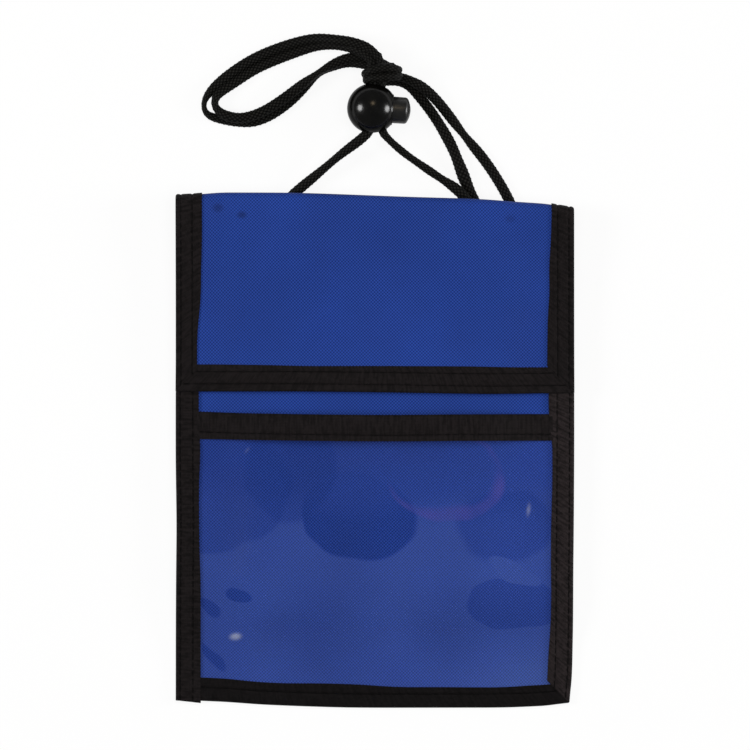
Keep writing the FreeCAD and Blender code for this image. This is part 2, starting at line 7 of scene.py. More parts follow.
# %% Load the frame
import math
import bmesh
import bpy
import numpy as np
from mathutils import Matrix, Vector


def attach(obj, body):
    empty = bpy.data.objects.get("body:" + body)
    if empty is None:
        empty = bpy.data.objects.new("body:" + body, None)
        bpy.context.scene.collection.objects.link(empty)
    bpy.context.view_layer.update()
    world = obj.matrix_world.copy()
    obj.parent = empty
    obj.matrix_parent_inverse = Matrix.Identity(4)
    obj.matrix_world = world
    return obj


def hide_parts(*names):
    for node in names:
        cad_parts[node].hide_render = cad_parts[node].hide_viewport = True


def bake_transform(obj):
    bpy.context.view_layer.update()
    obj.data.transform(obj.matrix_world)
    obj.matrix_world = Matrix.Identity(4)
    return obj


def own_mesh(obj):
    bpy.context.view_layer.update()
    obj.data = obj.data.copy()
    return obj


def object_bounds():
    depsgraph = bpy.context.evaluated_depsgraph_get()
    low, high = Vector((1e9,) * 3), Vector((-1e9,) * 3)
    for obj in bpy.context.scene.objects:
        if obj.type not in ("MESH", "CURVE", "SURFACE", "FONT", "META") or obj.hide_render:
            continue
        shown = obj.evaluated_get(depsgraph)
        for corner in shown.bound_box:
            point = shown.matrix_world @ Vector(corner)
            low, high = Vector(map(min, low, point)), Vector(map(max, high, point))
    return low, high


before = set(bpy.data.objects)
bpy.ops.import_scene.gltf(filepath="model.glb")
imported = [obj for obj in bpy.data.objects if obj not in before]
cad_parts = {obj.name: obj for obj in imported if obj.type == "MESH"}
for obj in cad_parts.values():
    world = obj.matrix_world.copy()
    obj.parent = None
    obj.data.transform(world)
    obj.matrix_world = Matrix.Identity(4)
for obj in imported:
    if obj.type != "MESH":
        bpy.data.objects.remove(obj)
cad_box = [list(corner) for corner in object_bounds()]
MM = 0.001
print("CAD box in metres", cad_box)

# %% [markdown]
# ## Camera
# The wallet was photographed from straight above. A long lens keeps the perspective weak, and its
# distance follows from how many millimetres one pixel of the picture covers.

# %% Camera
PICTURE = 750
PIXEL = 0.3535
AIM = Vector((0.0, 26.16, 8.0)) * MM
LENS = 300.0
SENSOR = 36.0
NEAREST = 0.1
camera_data = bpy.data.cameras.new("camera")
camera_data.lens = LENS
camera_data.sensor_width = SENSOR
camera_data.clip_start = NEAREST
camera = bpy.data.objects.new("camera", camera_data)
bpy.context.scene.collection.objects.link(camera)
camera.location = AIM + Vector((0.0, 0.0, PICTURE * PIXEL * MM * LENS / SENSOR))
bpy.context.scene.camera = camera
print("camera height", round(camera.location.z, 3))

# %% [markdown]
# ## The neck cord's route
# One cord runs from the left eyelet, through the ball, round a big slack loop, twice about its own
# neck, down behind the wallet and all the way back. A NURBS curve of order 3 bends softly near its
# control points, as a limp braid does, so the route is a list of control points in
# millimetres. The order is set after the points are added, because Blender lowers it otherwise.

# %% Route of the cord
LEFT_LEG = [
    (-38.0, 76.0, 5.35), (-38.0, 76.0, 3.15), (-37.45, 77.55, 1.6), (-36.2, 80.8, 1.6),
    (-33.4, 85.4, 1.9), (-28.9, 90.4, 2.6), (-20.0, 97.6, 4.2), (-12.2, 104.2, 6.2),
    (-4.2, 110.0, 7.8), (-1.2, 113.5, 8.1), (-0.80, 129.38, 8.1),
]
RIGHT_LEG = [
    (38.0, 76.0, 5.35), (38.0, 76.0, 3.15), (37.55, 77.6, 1.6), (36.5, 80.9, 1.7),
    (34.4, 85.6, 2.6), (31.6, 89.4, 3.8), (28.2, 92.6, 4.2), (22.6, 96.2, 4.8),
    (16.8, 100.1, 5.9), (10.8, 104.2, 7.2), (5.7, 108.5, 7.9), (1.6, 113.0, 8.1),
    (2.29, 129.17, 8.1),
]
LEFT_LOOP = [
    (-0.597, 132.273, 8.1), (-1.0, 136.8, 8.2), (-4.2, 140.4, 8.0), (-9.6, 142.4, 6.4),
    (-14.6, 143.3, 4.4), (-20.6, 143.0, 2.6), (-26.9, 141.0, 1.8), (-35.5, 137.8, 1.5),
    (-42.7, 134.6, 1.5), (-49.9, 129.8, 1.9), (-55.6, 126.0, 2.8), (-57.0, 122.9, 3.0),
    (-56.2, 120.4, 3.2), (-53.6, 118.2, 3.7), (-48.4, 116.9, 3.7), (-43.6, 117.8, 3.7),
    (-39.1, 119.7, 3.6), (-35.0, 122.2, 3.6), (-30.6, 125.3, 3.6), (-26.0, 128.9, 4.0),
    (-20.3, 133.1, 5.0), (-16.0, 135.6, 5.2), (-10.6, 138.1, 5.1), (-5.8, 138.8, 4.95),
]
RIGHT_LOOP = [
    (2.493, 132.063, 8.1), (2.2, 137.2, 8.2), (-1.6, 141.5, 8.2), (-8.0, 143.9, 7.8),
    (-14.5, 144.8, 6.4), (-21.1, 145.4, 3.8), (-28.0, 144.1, 2.2), (-36.8, 141.2, 1.5),
    (-44.4, 137.7, 1.5), (-52.1, 132.5, 1.7), (-57.6, 127.6, 1.8), (-60.5, 123.8, 1.9),
    (-60.7, 120.2, 1.9), (-58.6, 117.8, 1.7), (-54.0, 116.8, 1.4), (-48.4, 115.9, 1.4),
    (-43.3, 115.8, 1.4), (-38.1, 117.6, 1.4), (-33.6, 120.4, 1.4), (-29.4, 123.7, 1.5),
    (-25.2, 128.0, 1.7), (-20.1, 132.9, 1.9), (-15.8, 135.3, 2.6), (-10.3, 137.2, 3.4),
    (-5.6, 136.3, 4.6),
]
LEFT_TAIL = [
    (-1.3, 138.0, 5.06), (3.2, 136.0, 4.9), (6.6, 134.7, 5.9), (9.0, 133.6, 8.1),
    (7.0, 134.1, 10.5), (3.6, 134.7, 11.6), (-0.3, 134.1, 11.5), (-2.8, 132.8, 10.5),
    (-3.8, 132.4, 8.1), (-3.0, 132.0, 5.3), (-0.6, 131.9, 3.3), (4.0, 131.9, 2.9),
    (8.8, 131.9, 4.2), (13.5, 130.2, 4.4), (18.1, 127.3, 3.6), (22.7, 122.7, 2.4),
    (27.7, 116.2, 1.6), (33.0, 109.4, 1.5), (38.4, 103.0, 1.5), (43.2, 96.0, 1.5),
    (47.4, 88.6, 1.5), (50.8, 80.6, 1.5), (53.0, 71.6, 1.5), (54.0, 57.0, 1.5),
    (53.4, 37.0, 1.5), (50.4, 16.0, 1.5), (43.0, -4.0, 1.5), (29.0, -20.0, 1.5),
    (10.0, -29.0, 1.5), (-11.0, -29.6, 1.5),
]
RIGHT_TAIL = [
    (-1.1, 135.4, 5.08), (3.2, 133.9, 4.9), (6.6, 132.7, 6.0), (9.2, 132.0, 8.1),
    (6.8, 131.8, 10.5), (3.4, 131.3, 11.3), (-0.1, 131.1, 11.7), (-2.5, 130.8, 10.5),
    (-3.4, 130.6, 8.1), (-2.4, 130.3, 5.3), (-0.6, 129.5, 3.7), (4.0, 130.2, 2.9),
    (9.0, 130.2, 2.0), (13.3, 127.7, 1.6), (16.9, 123.5, 1.5), (20.6, 118.6, 1.5),
    (24.3, 112.7, 1.5), (27.6, 106.6, 1.5), (30.3, 99.6, 1.5), (32.6, 93.4, 1.5),
    (35.4, 87.6, 1.5), (39.0, 82.2, 1.5), (42.0, 76.4, 1.5), (42.8, 69.6, 1.5),
    (40.4, 62.8, 1.5), (33.8, 58.0, 1.5), (23.0, 55.2, 1.5), (8.0, 52.8, 1.5),
    (-8.0, 49.2, 1.5), (-23.0, 42.6, 1.5), (-35.0, 31.0, 1.5), (-41.2, 14.0, 1.5),
    (-40.0, -5.0, 1.5), (-30.0, -20.0, 1.5),
]
left_half = LEFT_LEG + LEFT_LOOP + LEFT_TAIL
right_half = RIGHT_LEG + RIGHT_LOOP + RIGHT_TAIL
route = left_half + right_half[::-1]
print("cord route has", len(route), "control points")

# %% Line along the route
ROUTE_ORDER = 3
ROUTE_FINENESS = 24
CORD_STEP = 0.32


def nurbs_line(name, points):
    """Points along a NURBS curve of order 3 with these control points, in millimetres."""
    curve = bpy.data.curves.new(name, "CURVE")
    curve.dimensions = "3D"
    curve.resolution_u = ROUTE_FINENESS
    spline = curve.splines.new("NURBS")
    spline.points.add(len(points) - 1)
    for place, point in zip(spline.points, points):
        place.co = (*[length * MM for length in point], 1.0)
    spline.order_u = ROUTE_ORDER
    spline.use_endpoint_u = True
    holder = bpy.data.objects.new(name, curve)
    bpy.context.scene.collection.objects.link(holder)
    bpy.context.view_layer.update()
    drawn = holder.evaluated_get(bpy.context.evaluated_depsgraph_get())
    mesh = bpy.data.meshes.new_from_object(drawn)
    line = np.array([vertex.co for vertex in mesh.vertices]) / MM
    bpy.data.objects.remove(holder)
    bpy.data.meshes.remove(mesh)
    return line


def evenly(line, step):
    """The same line with points a fixed step apart."""
    steps = np.linalg.norm(np.diff(line, axis=0), axis=1)
    lengths = np.concatenate([[0.0], np.cumsum(steps)])
    count = max(2, int(round(lengths[-1] / step)) + 1)
    at = np.linspace(0.0, lengths[-1], count)
    return np.stack([np.interp(at, lengths, line[:, axis]) for axis in range(3)], axis=1), at


cord_line, cord_at = evenly(nurbs_line("cord_route", route), CORD_STEP)
print("cord length", round(cord_at[-1], 1), "mm in", len(cord_line), "rings")

# %% [markdown]
# ## Studio
# A plain pale floor, a soft sky and four soft boxes light the wallet at a plain level, so a
# colour shows about as it is written. The floor looks white to the camera and in reflections
# through the Light Path node, and a share of its own shading is left in, so it keeps the shadow.
# Every material of the lesson is a small tree of nodes, so four helpers come first.

# %% Node helpers
scene = bpy.context.scene
scene.view_settings.view_transform = "Standard"


def join(tree, value, socket):
    """Link a socket, or set a plain value on one."""
    if isinstance(value, bpy.types.NodeSocket):
        tree.links.new(value, socket)
    elif value is not None:
        socket.default_value = value


def node(tree, kind, props=None, **inputs):
    """Add a node, set its properties and fill its inputs by name."""
    made = tree.nodes.new(kind)
    for key, value in (props or {}).items():
        setattr(made, key, value)
    for key, value in inputs.items():
        join(tree, value, made.inputs[key.replace("_", " ")])
    return made


def calc(tree, operation, first, second=None):
    """A Math node's result."""
    made = tree.nodes.new("ShaderNodeMath")
    made.operation = operation
    join(tree, first, made.inputs[0])
    join(tree, second, made.inputs[1])
    return made.outputs[0]


def blank_finish(name):
    """A new material with an empty node tree and an output."""
    finish = bpy.data.materials.new(name)
    finish.use_nodes = True
    finish.node_tree.nodes.clear()
    out = finish.node_tree.nodes.new("ShaderNodeOutputMaterial")
    return finish, finish.node_tree, out


print("view transform", scene.view_settings.view_transform)

# %% Floor
FLOOR_GREY = 0.86
FLOOR_WHITE_SHARE = 0.88
FLOOR_SIZE = 6.0
FLOOR_DROP = 0.00005
floor_finish, tree, out = blank_finish("studio_floor")
path = node(tree, "ShaderNodeLightPath")
seen = calc(tree, "MAXIMUM", path.outputs["Is Camera Ray"], path.outputs["Is Glossy Ray"])
seen = calc(tree, "MAXIMUM", seen, path.outputs["Is Transmission Ray"])
pale = node(tree, "ShaderNodeBsdfDiffuse", Color=(FLOOR_GREY, FLOOR_GREY, FLOOR_GREY, 1.0))
white = node(tree, "ShaderNodeEmission", Strength=1.0)
white_share = calc(tree, "MULTIPLY", seen, FLOOR_WHITE_SHARE)
floor_mix = node(tree, "ShaderNodeMixShader", Fac=white_share)
tree.links.new(pale.outputs[0], floor_mix.inputs[1])
tree.links.new(white.outputs[0], floor_mix.inputs[2])
tree.links.new(floor_mix.outputs[0], out.inputs["Surface"])
bpy.ops.mesh.primitive_plane_add(size=FLOOR_SIZE, location=(0.0, 0.0, -FLOOR_DROP))
floor = bpy.context.object
floor.name = "studio_floor"
floor.data.materials.append(floor_finish)
print("floor", FLOOR_SIZE, "m wide")

# %% Sky and soft boxes
SKY_TINT = (0.96, 0.98, 1.0, 1.0)
SKY_STRENGTH = 0.12
LAMPS_AIM = Vector((0.0, 0.03, 0.0))
PLAIN_LIGHT = (1.0, 1.0, 1.0)
WARM_LIGHT = (1.0, 0.78, 0.5)
world = bpy.data.worlds.new("studio_sky")
world.use_nodes = True
sky = world.node_tree.nodes["Background"]
sky.inputs["Color"].default_value = SKY_TINT
sky.inputs["Strength"].default_value = SKY_STRENGTH
scene.world = world


def soft_box(name, place, size, power, mirrored=True, tint=PLAIN_LIGHT):
    """A round area lamp aimed at the wallet, seen in gloss or only felt as light."""
    lamp = bpy.data.lights.new(name, "AREA")
    lamp.shape = "DISK"
    lamp.size = size
    lamp.energy = power
    lamp.color = tint
    holder = bpy.data.objects.new(name, lamp)
    scene.collection.objects.link(holder)
    holder.location = place
    aim = LAMPS_AIM - holder.location
    holder.rotation_mode = "QUATERNION"
    holder.rotation_quaternion = aim.to_track_quat("-Z", "Y")
    holder.visible_glossy = mirrored
    holder.visible_camera = False


soft_box("left_box", (-1.05, 0.15, 0.75), size=0.5, power=8.0)
soft_box("right_box", (1.15, 0.08, 0.42), size=0.5, power=7.5)
soft_box("top_box", (0.15, 0.02, 1.5), size=1.4, power=14.9, mirrored=False)
soft_box("warm_box", (0.06, 0.55, 1.15), size=0.3, power=0.7, tint=WARM_LIGHT)
print("soft boxes", len(bpy.data.lights))

# %% [markdown]
# ## How the wallet lies
# Every sheet of the pouch follows the same two curves: a soft S that lifts it off the table, over
# the cord tucked behind, and a soft S across it that lets the pockets swell between the seams.
# A cloth simulation could drape the sheets too, but these are the CAD model's own curves, so each
# piece lands where its solid is.

# %% The lie of the pouch
HALF_WIDTH = round(cad_box[1][0] / MM, 2)
FOOT_EDGE = round(cad_box[0][1] / MM, 2)
CLOTH = 0.5
FILM = 0.35
TAPE = 0.5
TAPE_WIDTH = 8.5
TAPE_INNER = HALF_WIDTH - TAPE_WIDTH
FOOT = FOOT_EDGE + TAPE
FLAT_FOOT = 9.0
LIFT_RUN = 37.0
LIFT_RISE = 4.0
MARGIN = 20.0


def s_curve(share):
    """Two equal arcs from 0 to 1."""
    share = np.clip(share, 0.0, 1.0)
    return np.where(share < 0.5, 2 * share * share, 1 - 2 * (1 - share) ** 2)


def lift(y):
    """0 at the foot, which lies on the table, 1 where the pouch rides on the cord."""
    return s_curve((y - FOOT - FLAT_FOOT) / LIFT_RUN)


def rear(y):
    """Height of the back panel's rear face."""
    return TAPE + LIFT_RISE * lift(y)


def swell(x):
    """0 at the side seams, 1 over the flat middle."""
    return s_curve((TAPE_INNER - np.abs(x)) / MARGIN)


def ripple(x, y, reach):
    """The small unevenness of a sheet that has been handled."""
    waves = np.sin(x / 13.0 + 1.3) * np.sin(y / 17.0 + 0.4) + 0.6 * np.sin(x / 7.3 - y / 11.0)
    return reach * waves * swell(x)


print("pouch is", 2 * HALF_WIDTH, "mm wide and rises by", LIFT_RISE, "mm")

# %% Middles of the pouch's sheets
WINDOW_TOP = 12.2
FILM_MARGIN = 27.0
FILM_BELLY = 5.8
FILM_GAP = 0.05
CLOTH_RIPPLE = 0.06
FILM_RIPPLE = 0.16
FILM_RIPPLE_SHIFT = 30.0
RIPPLE_FADE = 25.0
# Each pimple of the film: its place, its height and its reach.
PIMPLES = [((-49.6, -66.3), 0.8, 1.1), ((54.5, -22.0), 0.7, 1.2), ((54.3, -25.0), 0.5, 1.2)]


def back_mid(x, y):
    """Middle of the back panel's cloth."""
    return rear(y) + CLOTH / 2


def front_mid(x, y):
    """Middle of the front panel's cloth, which swells by a millimetre."""
    return rear(y) + CLOTH * 1.5 + lift(y) * swell(x) + ripple(x, y, CLOTH_RIPPLE) * lift(y)


def film_mid(x, y):
    """The film bellies more softly than the cloth, and a few small creases catch the light."""
    inside = np.clip((TAPE_INNER - np.abs(x)) / FILM_MARGIN, 0.0, 1.0)
    belly = 0.5 - 0.5 * np.cos(math.pi * inside)
    height = rear(y) + 2 * CLOTH + FILM / 2 + FILM_GAP + FILM_BELLY * lift(y) * belly
    for (place_x, place_y), tall, reach in PIMPLES:
        apart = (x - place_x) ** 2 + (y - place_y) ** 2
        height = height + tall * np.exp(-apart / (2 * reach ** 2))
    fade = s_curve((WINDOW_TOP - y) / RIPPLE_FADE)
    return height + ripple(x, y + FILM_RIPPLE_SHIFT, FILM_RIPPLE) * lift(y) * fade


print("film's middle is", round(float(film_mid(0.0, -40.0)), 1), "mm over the table")

# %% [markdown]
# ## The set of the real wallet
# Sewn goods are never square. The fold sinks to the right, the foot bows, and the lower right
# corner draws in. A lattice could bend the finished meshes. Small tables of place and wander, in
# millimetres, are easier to read and bend every sheet by the same amount, so seams and tapes stay
# together.

# %% The set of the real wallet
FOLD_WANDER = [
    (-70, 0.2), (-64, 0.1), (-57, 1.2), (-31, 1.15), (-18, 0.8), (0, 0.1), (13, -0.4), (26, -0.75),
    (38, -1.15), (51, -2.25), (58, -2.55), (64, -3.2), (70, -4.8),
]
FOOT_WANDER = [
    (-70, 1.1), (-62, 0.65), (-50, 0.15), (-43, -0.55), (-30, -1.15), (-12, -1.75), (0, -1.85),
    (45, -1.8), (52, -1.6), (58, -1.3), (65, -0.95), (70, 0.3),
]
LEFT_WANDER = [
    (-90, -0.68), (-70, -0.65), (-58, -0.54), (-38, -0.36), (-27, -0.24), (-16, -0.4), (-4, -0.57),
    (19, -0.57), (30, -0.47), (90, -0.47),
]
RIGHT_WANDER = [
    (-90, -1.3), (-86, -0.6), (-80, -0.05), (-73, 0.0), (-66, 0.17), (-44, 0.2), (-30, 0.36),
    (-16, 0.46), (0, 0.55), (19, 0.55), (30, 0.48), (60, 0.44), (90, 0.33),
]
WINDOW_WANDER = [
    (-62, 0.55), (-50, 0.0), (-35, -0.25), (-20, -0.5), (0, -0.7), (15, -0.65), (30, -0.45),
    (62, -0.4),
]
SMOOTHING = (-5.0, -2.5, 0.0, 2.5, 5.0)
FOLD_BEND_FROM = 30.0
FOLD_BEND_RUN = 55.0
FOOT_BEND_FROM = -45.0
FOOT_BEND_RUN = 45.0


def wander(table, at):
    """A table's value, smoothed over a few millimetres."""
    places, values = zip(*table)
    total = sum(np.interp(at + shift, places, values) for shift in SMOOTHING)
    return total / len(SMOOTHING)


def settle(points):
    """Bend points of the flat drawing to the set of the real wallet."""
    points = np.array(points, float)
    x, y = points[..., 0].copy(), points[..., 1].copy()
    points[..., 1] += wander(FOLD_WANDER, x) * s_curve((y - FOLD_BEND_FROM) / FOLD_BEND_RUN)
    points[..., 1] += wander(FOOT_WANDER, x) * s_curve((FOOT_BEND_FROM - y) / FOOT_BEND_RUN)
    points[..., 0] += wander(RIGHT_WANDER, y) * np.clip(x / HALF_WIDTH, 0.0, 1.0)
    points[..., 0] += wander(LEFT_WANDER, y) * np.clip(-x / HALF_WIDTH, 0.0, 1.0)
    return points


print("fold sinks by", FOLD_WANDER[0][1] - FOLD_WANDER[-1][1], "mm from left to right")

# %% [markdown]
# ## One maker for all sheets
# Cloth, film and tape are all thin sheets. A Solidify modifier could thicken a plain grid, but it
# keeps no lengths. Here each sheet is a grid of points on its middle surface, and the maker
# pushes it out to both faces, closes the rims, and stores the length along and across the sheet
# as UV, in metres, so a weave keeps its scale round any fold.

# %% Mesh helpers
def object_from(name, vertices, faces, finish, smooth_angle=40.0):
    """A mesh object from points in millimetres."""
    mesh = bpy.data.meshes.new(name)
    mesh.from_pydata([tuple(point) for point in np.asarray(vertices) * MM], [], faces)
    shape = bmesh.new()
    shape.from_mesh(mesh)
    bmesh.ops.recalc_face_normals(shape, faces=shape.faces)
    shape.to_mesh(mesh)
    shape.free()
    mesh.shade_smooth()
    mesh.set_sharp_from_angle(angle=math.radians(smooth_angle))
    mesh.materials.append(finish)
    made = bpy.data.objects.new(name, mesh)
    scene.collection.objects.link(made)
    return made


def corner_points(made):
    """The point that each face corner of a mesh uses."""
    corner = np.zeros(len(made.data.loops), dtype=np.int32)
    made.data.loops.foreach_get("vertex_index", corner)
    return corner


def lay_uv(made, u, v):
    """Store two lengths for every face corner as UV."""
    layer = made.data.uv_layers.new(name="UVMap")
    layer.data.foreach_set("uv", np.stack([u, v], axis=1).ravel())


print("mesh helpers ready")

# %% Sheet maker
def run_lengths(grid, axis):
    """Mean running length along one axis of a grid of points."""
    steps = np.linalg.norm(np.diff(grid, axis=axis), axis=2).mean(axis=1 - axis)
    return np.concatenate([[0.0], np.cumsum(steps)])


def sheet(name, grid, thick, finish):
    """A closed sheet of even thickness about a grid of points."""
    rows, columns = grid.shape[:2]
    along = np.gradient(grid, axis=0)
    across = np.gradient(grid, axis=1)
    normal = np.cross(across, along)
    normal /= np.linalg.norm(normal, axis=2, keepdims=True)
    upper = (grid + normal * thick / 2).reshape(-1, 3)
    lower = (grid - normal * thick / 2).reshape(-1, 3)
    shift = rows * columns
    faces = []
    for row in range(rows - 1):
        for column in range(columns - 1):
            a = row * columns + column
            quad = (a, a + 1, a + columns + 1, a + columns)
            faces.append(quad)
            faces.append(tuple(shift + corner for corner in reversed(quad)))
    edge = list(range(columns))
    edge += [row * columns + columns - 1 for row in range(1, rows)]
    edge += [(rows - 1) * columns + column for column in range(columns - 2, -1, -1)]
    edge += [row * columns for row in range(rows - 2, 0, -1)]
    for a, b in zip(edge, edge[1:] + edge[:1]):
        faces.append((b, a, shift + a, shift + b))
    made = object_from(name, np.concatenate([upper, lower]), faces, finish)
    u = np.tile(run_lengths(grid, 1), rows) * MM
    v = np.repeat(run_lengths(grid, 0), columns) * MM
    corner = corner_points(made) % shift
    lay_uv(made, u[corner], v[corner])
    return made


def surface(xs, ys, height):
    """A grid of points over X and Y with a height function, bent to the real set."""
    x, y = np.meshgrid(xs, ys)
    return settle(np.stack([x, y, height(x, y)], axis=2))


print("sheets are", CLOTH, "mm of cloth,", FILM, "mm of film and", TAPE, "mm of tape")

# %% [markdown]
# ## Finishes
# The cloth is a coarse plain weave, dyed a strong blue. It could be a woven picture, but nodes
# need no file. Threads go over and under in turn, so the pattern is a product of two sine waves,
# with every second crossing raised. Colour and bump read the same height, so the thread tops are
# the cloth's blue and the hollows between them are painted shade. A few helpers make patterns
# that the other finishes use too.

# %% Weave helpers
def uv_lengths(tree, pitch_u, pitch_v):
    """The sheet's lengths, counted in threads."""
    split = node(tree, "ShaderNodeSeparateXYZ", Vector=node(tree, "ShaderNodeUVMap").outputs[0])
    u = calc(tree, "MULTIPLY", split.outputs[0], 1.0 / pitch_u)
    v = calc(tree, "MULTIPLY", split.outputs[1], 1.0 / pitch_v)
    return u, v


def hump(tree, count):
    """A rounded thread for every whole number of the count."""
    return calc(tree, "ABSOLUTE", calc(tree, "SINE", calc(tree, "MULTIPLY", count, math.pi)))


def plain_weave(tree, pitch):
    """Height of a plain weave: every second crossing is high, the ones between are low."""
    u, v = uv_lengths(tree, pitch, pitch)
    wave_u = calc(tree, "SINE", calc(tree, "MULTIPLY", u, math.pi))
    wave_v = calc(tree, "SINE", calc(tree, "MULTIPLY", v, math.pi))
    crossing = calc(tree, "MULTIPLY", wave_u, wave_v)
    return calc(tree, "ADD", calc(tree, "MULTIPLY", crossing, 0.5), 0.5)


print("weave helpers ready")

# %% Colour and patch helpers
NOISE_SPREAD = (0.3, 0.7)


def mixed(tree, share, first, second, mode="MIX"):
    """A Mix node for colours, whose colour sockets are numbers 6 and 7."""
    made = tree.nodes.new("ShaderNodeMix")
    made.data_type = "RGBA"
    made.blend_type = mode
    join(tree, share, made.inputs["Factor"])
    join(tree, first, made.inputs[6])
    join(tree, second, made.inputs[7])
    return made.outputs[2]


def ramp(tree, value, taken, given, kind="SMOOTHSTEP"):
    """A step from one range to another, smooth unless said."""
    made = node(
        tree, "ShaderNodeMapRange", {"interpolation_type": kind}, Value=value,
        From_Min=taken[0], From_Max=taken[1], To_Min=given[0], To_Max=given[1],
    )
    return made.outputs[0]


def cloudy(tree, scale, low, high, detail=3.0):
    """A soft noise in object space, spread between two values."""
    where = node(tree, "ShaderNodeTexCoord").outputs["Object"]
    noise = node(tree, "ShaderNodeTexNoise", Vector=where, Scale=scale, Detail=detail)
    return ramp(tree, noise.outputs[0], NOISE_SPREAD, (low, high), "LINEAR")


def grey(tree, value):
    """A value as a colour."""
    made = node(tree, "ShaderNodeCombineColor")
    for socket in made.inputs:
        join(tree, value, socket)
    return made.outputs[0]


def oval(tree, where, centre, radii, tilt, low, high):
    """1 inside a tilted oval of the sheet, 0 outside, with a soft edge between two shares."""
    placed = node(tree, "ShaderNodeMapping", {"vector_type": "TEXTURE"}, Vector=where)
    placed.inputs["Location"].default_value = (centre[0] * MM, centre[1] * MM, 0.0)
    placed.inputs["Rotation"].default_value = (0.0, 0.0, math.radians(tilt))
    placed.inputs["Scale"].default_value = (radii[0] * MM, radii[1] * MM, 1.0)
    flat = node(tree, "ShaderNodeVectorMath", {"operation": "MULTIPLY"})
    join(tree, placed.outputs[0], flat.inputs[0])
    flat.inputs[1].default_value = (1.0, 1.0, 0.0)
    size = node(tree, "ShaderNodeVectorMath", {"operation": "LENGTH"})
    join(tree, flat.outputs[0], size.inputs[0])
    return ramp(tree, size.outputs["Value"], (low, high), (1.0, 0.0))


def less(tree, value, spot, depth):
    """A value lowered by a depth wherever the spot is."""
    kept = calc(tree, "SUBTRACT", 1.0, calc(tree, "MULTIPLY", spot, depth))
    return calc(tree, "MULTIPLY", value, kept)


print("colour and patch helpers ready")

# %% Cloth finish
WEAVE_PITCH = 0.575
# The deep colour is painted shade in the hollows of the weave, the top colour is the cloth's blue.
CLOTH_HOLLOW_SHADE = (0.0018, 0.0118, 0.082, 1.0)
CLOTH_TOP = (0.0205, 0.0615, 0.338, 1.0)
DENT_SHADE_BLUE = (0.004, 0.012, 0.07, 1.0)
DENT_SHADE_EDGE = (0.2, 1.2)
# Each spot of painted shade over a dent of the flap: its place, its radii and its depth.
DENT_SHADE_SPOTS = [
    ((-55.5, 85.2), (2.4, 2.0), 0.5), ((-47.0, 82.7), (2.2, 1.6), 0.6),
    ((47.7, 81.3), (2.2, 1.8), 0.3),
]


def cloth_finish(name, hollow_shade, top):
    """A plain weave with painted shade in its hollows, a slightly uneven dye and spots of painted shade
    over the flap's dents.
    """
    finish, tree, out = blank_finish(name)
    height = plain_weave(tree, WEAVE_PITCH * MM)
    # Painted shade: the hollows of the weave take the deep colour.
    colour = mixed(tree, height, hollow_shade, top)
    dye = cloudy(tree, scale=28.0, low=0.9, high=1.1)
    colour = mixed(tree, 1.0, colour, grey(tree, dye), "MULTIPLY")
    where = node(tree, "ShaderNodeTexCoord").outputs["Object"]
    # Painted shade: a darker blue spot over each dent of the flap.
    for centre, radii, depth in DENT_SHADE_SPOTS:
        spot = oval(tree, where, centre, radii, 0, *DENT_SHADE_EDGE)
        colour = mixed(tree, calc(tree, "MULTIPLY", spot, depth), colour, DENT_SHADE_BLUE)
    bump = node(tree, "ShaderNodeBump", Height=height, Strength=0.35, Distance=0.12 * MM)
    rough = cloudy(tree, scale=60.0, low=0.62, high=0.74)
    skin = node(
        tree, "ShaderNodeBsdfPrincipled", Base_Color=colour, Roughness=rough, Specular_IOR_Level=0.14,
        Sheen_Weight=0.02, Sheen_Roughness=0.5, Normal=bump.outputs[0],
    )
    tree.links.new(skin.outputs[0], out.inputs["Surface"])
    return finish


blue_cloth = cloth_finish("blue_cloth", CLOTH_HOLLOW_SHADE, CLOTH_TOP)
print("cloth finish made,", WEAVE_PITCH, "mm from thread to thread")

# %% [markdown]
# The binding tape is a thin black ribbed tape with a matt face. Its ribs run across it, with
# painted shade in the hollows between them, and fluff and streaks make the black uneven. The tape
# on the right is painted paler for the light it catches, and the one at the foot painted a deeper
# black for the shade it lies in, so one function makes three finishes from three pairs of colours.
# The thread is a plain dull black.

# %% Tape and thread finishes
TAPE_YARN = 0.55
TAPE_RIB = 0.42
YARN_SHARE = 0.35
STREAK_STRETCH = (0.16, 1.0, 1.0)
STREAK_TAKEN = (0.32, 0.68)
STREAK_GIVEN = (0.45, 1.6)


def tape_finish(name, hollow_shade, top):
    """Ribs across the tape, with painted shade between them, and fluff and streaks in the colour."""
    finish, tree, out = blank_finish(name)
    u, v = uv_lengths(tree, TAPE_YARN * MM, TAPE_RIB * MM)
    yarn = calc(tree, "ADD", calc(tree, "MULTIPLY", hump(tree, u), YARN_SHARE), 1.0 - YARN_SHARE)
    rib = calc(tree, "MULTIPLY", hump(tree, v), yarn)
    fluff = cloudy(tree, scale=900.0, low=0.6, high=1.3, detail=2.0)
    along = node(tree, "ShaderNodeUVMap").outputs[0]
    stretched = node(tree, "ShaderNodeMapping", Vector=along, Scale=STREAK_STRETCH)
    noise = node(tree, "ShaderNodeTexNoise", Vector=stretched.outputs[0], Scale=1100.0, Detail=2.0)
    streaks = ramp(tree, noise.outputs[0], STREAK_TAKEN, STREAK_GIVEN)
    fluff = calc(tree, "MULTIPLY", fluff, streaks)
    # Painted shade: the hollows between the ribs take the deep colour.
    colour = mixed(tree, calc(tree, "MULTIPLY", rib, fluff), hollow_shade, top)
    bump = node(tree, "ShaderNodeBump", Height=rib, Strength=0.7, Distance=0.1 * MM)
    skin = node(
        tree, "ShaderNodeBsdfPrincipled", Base_Color=colour, Roughness=0.78, Specular_IOR_Level=0.12,
        Sheen_Weight=0.01, Normal=bump.outputs[0],
    )
    tree.links.new(skin.outputs[0], out.inputs["Surface"])
    return finish
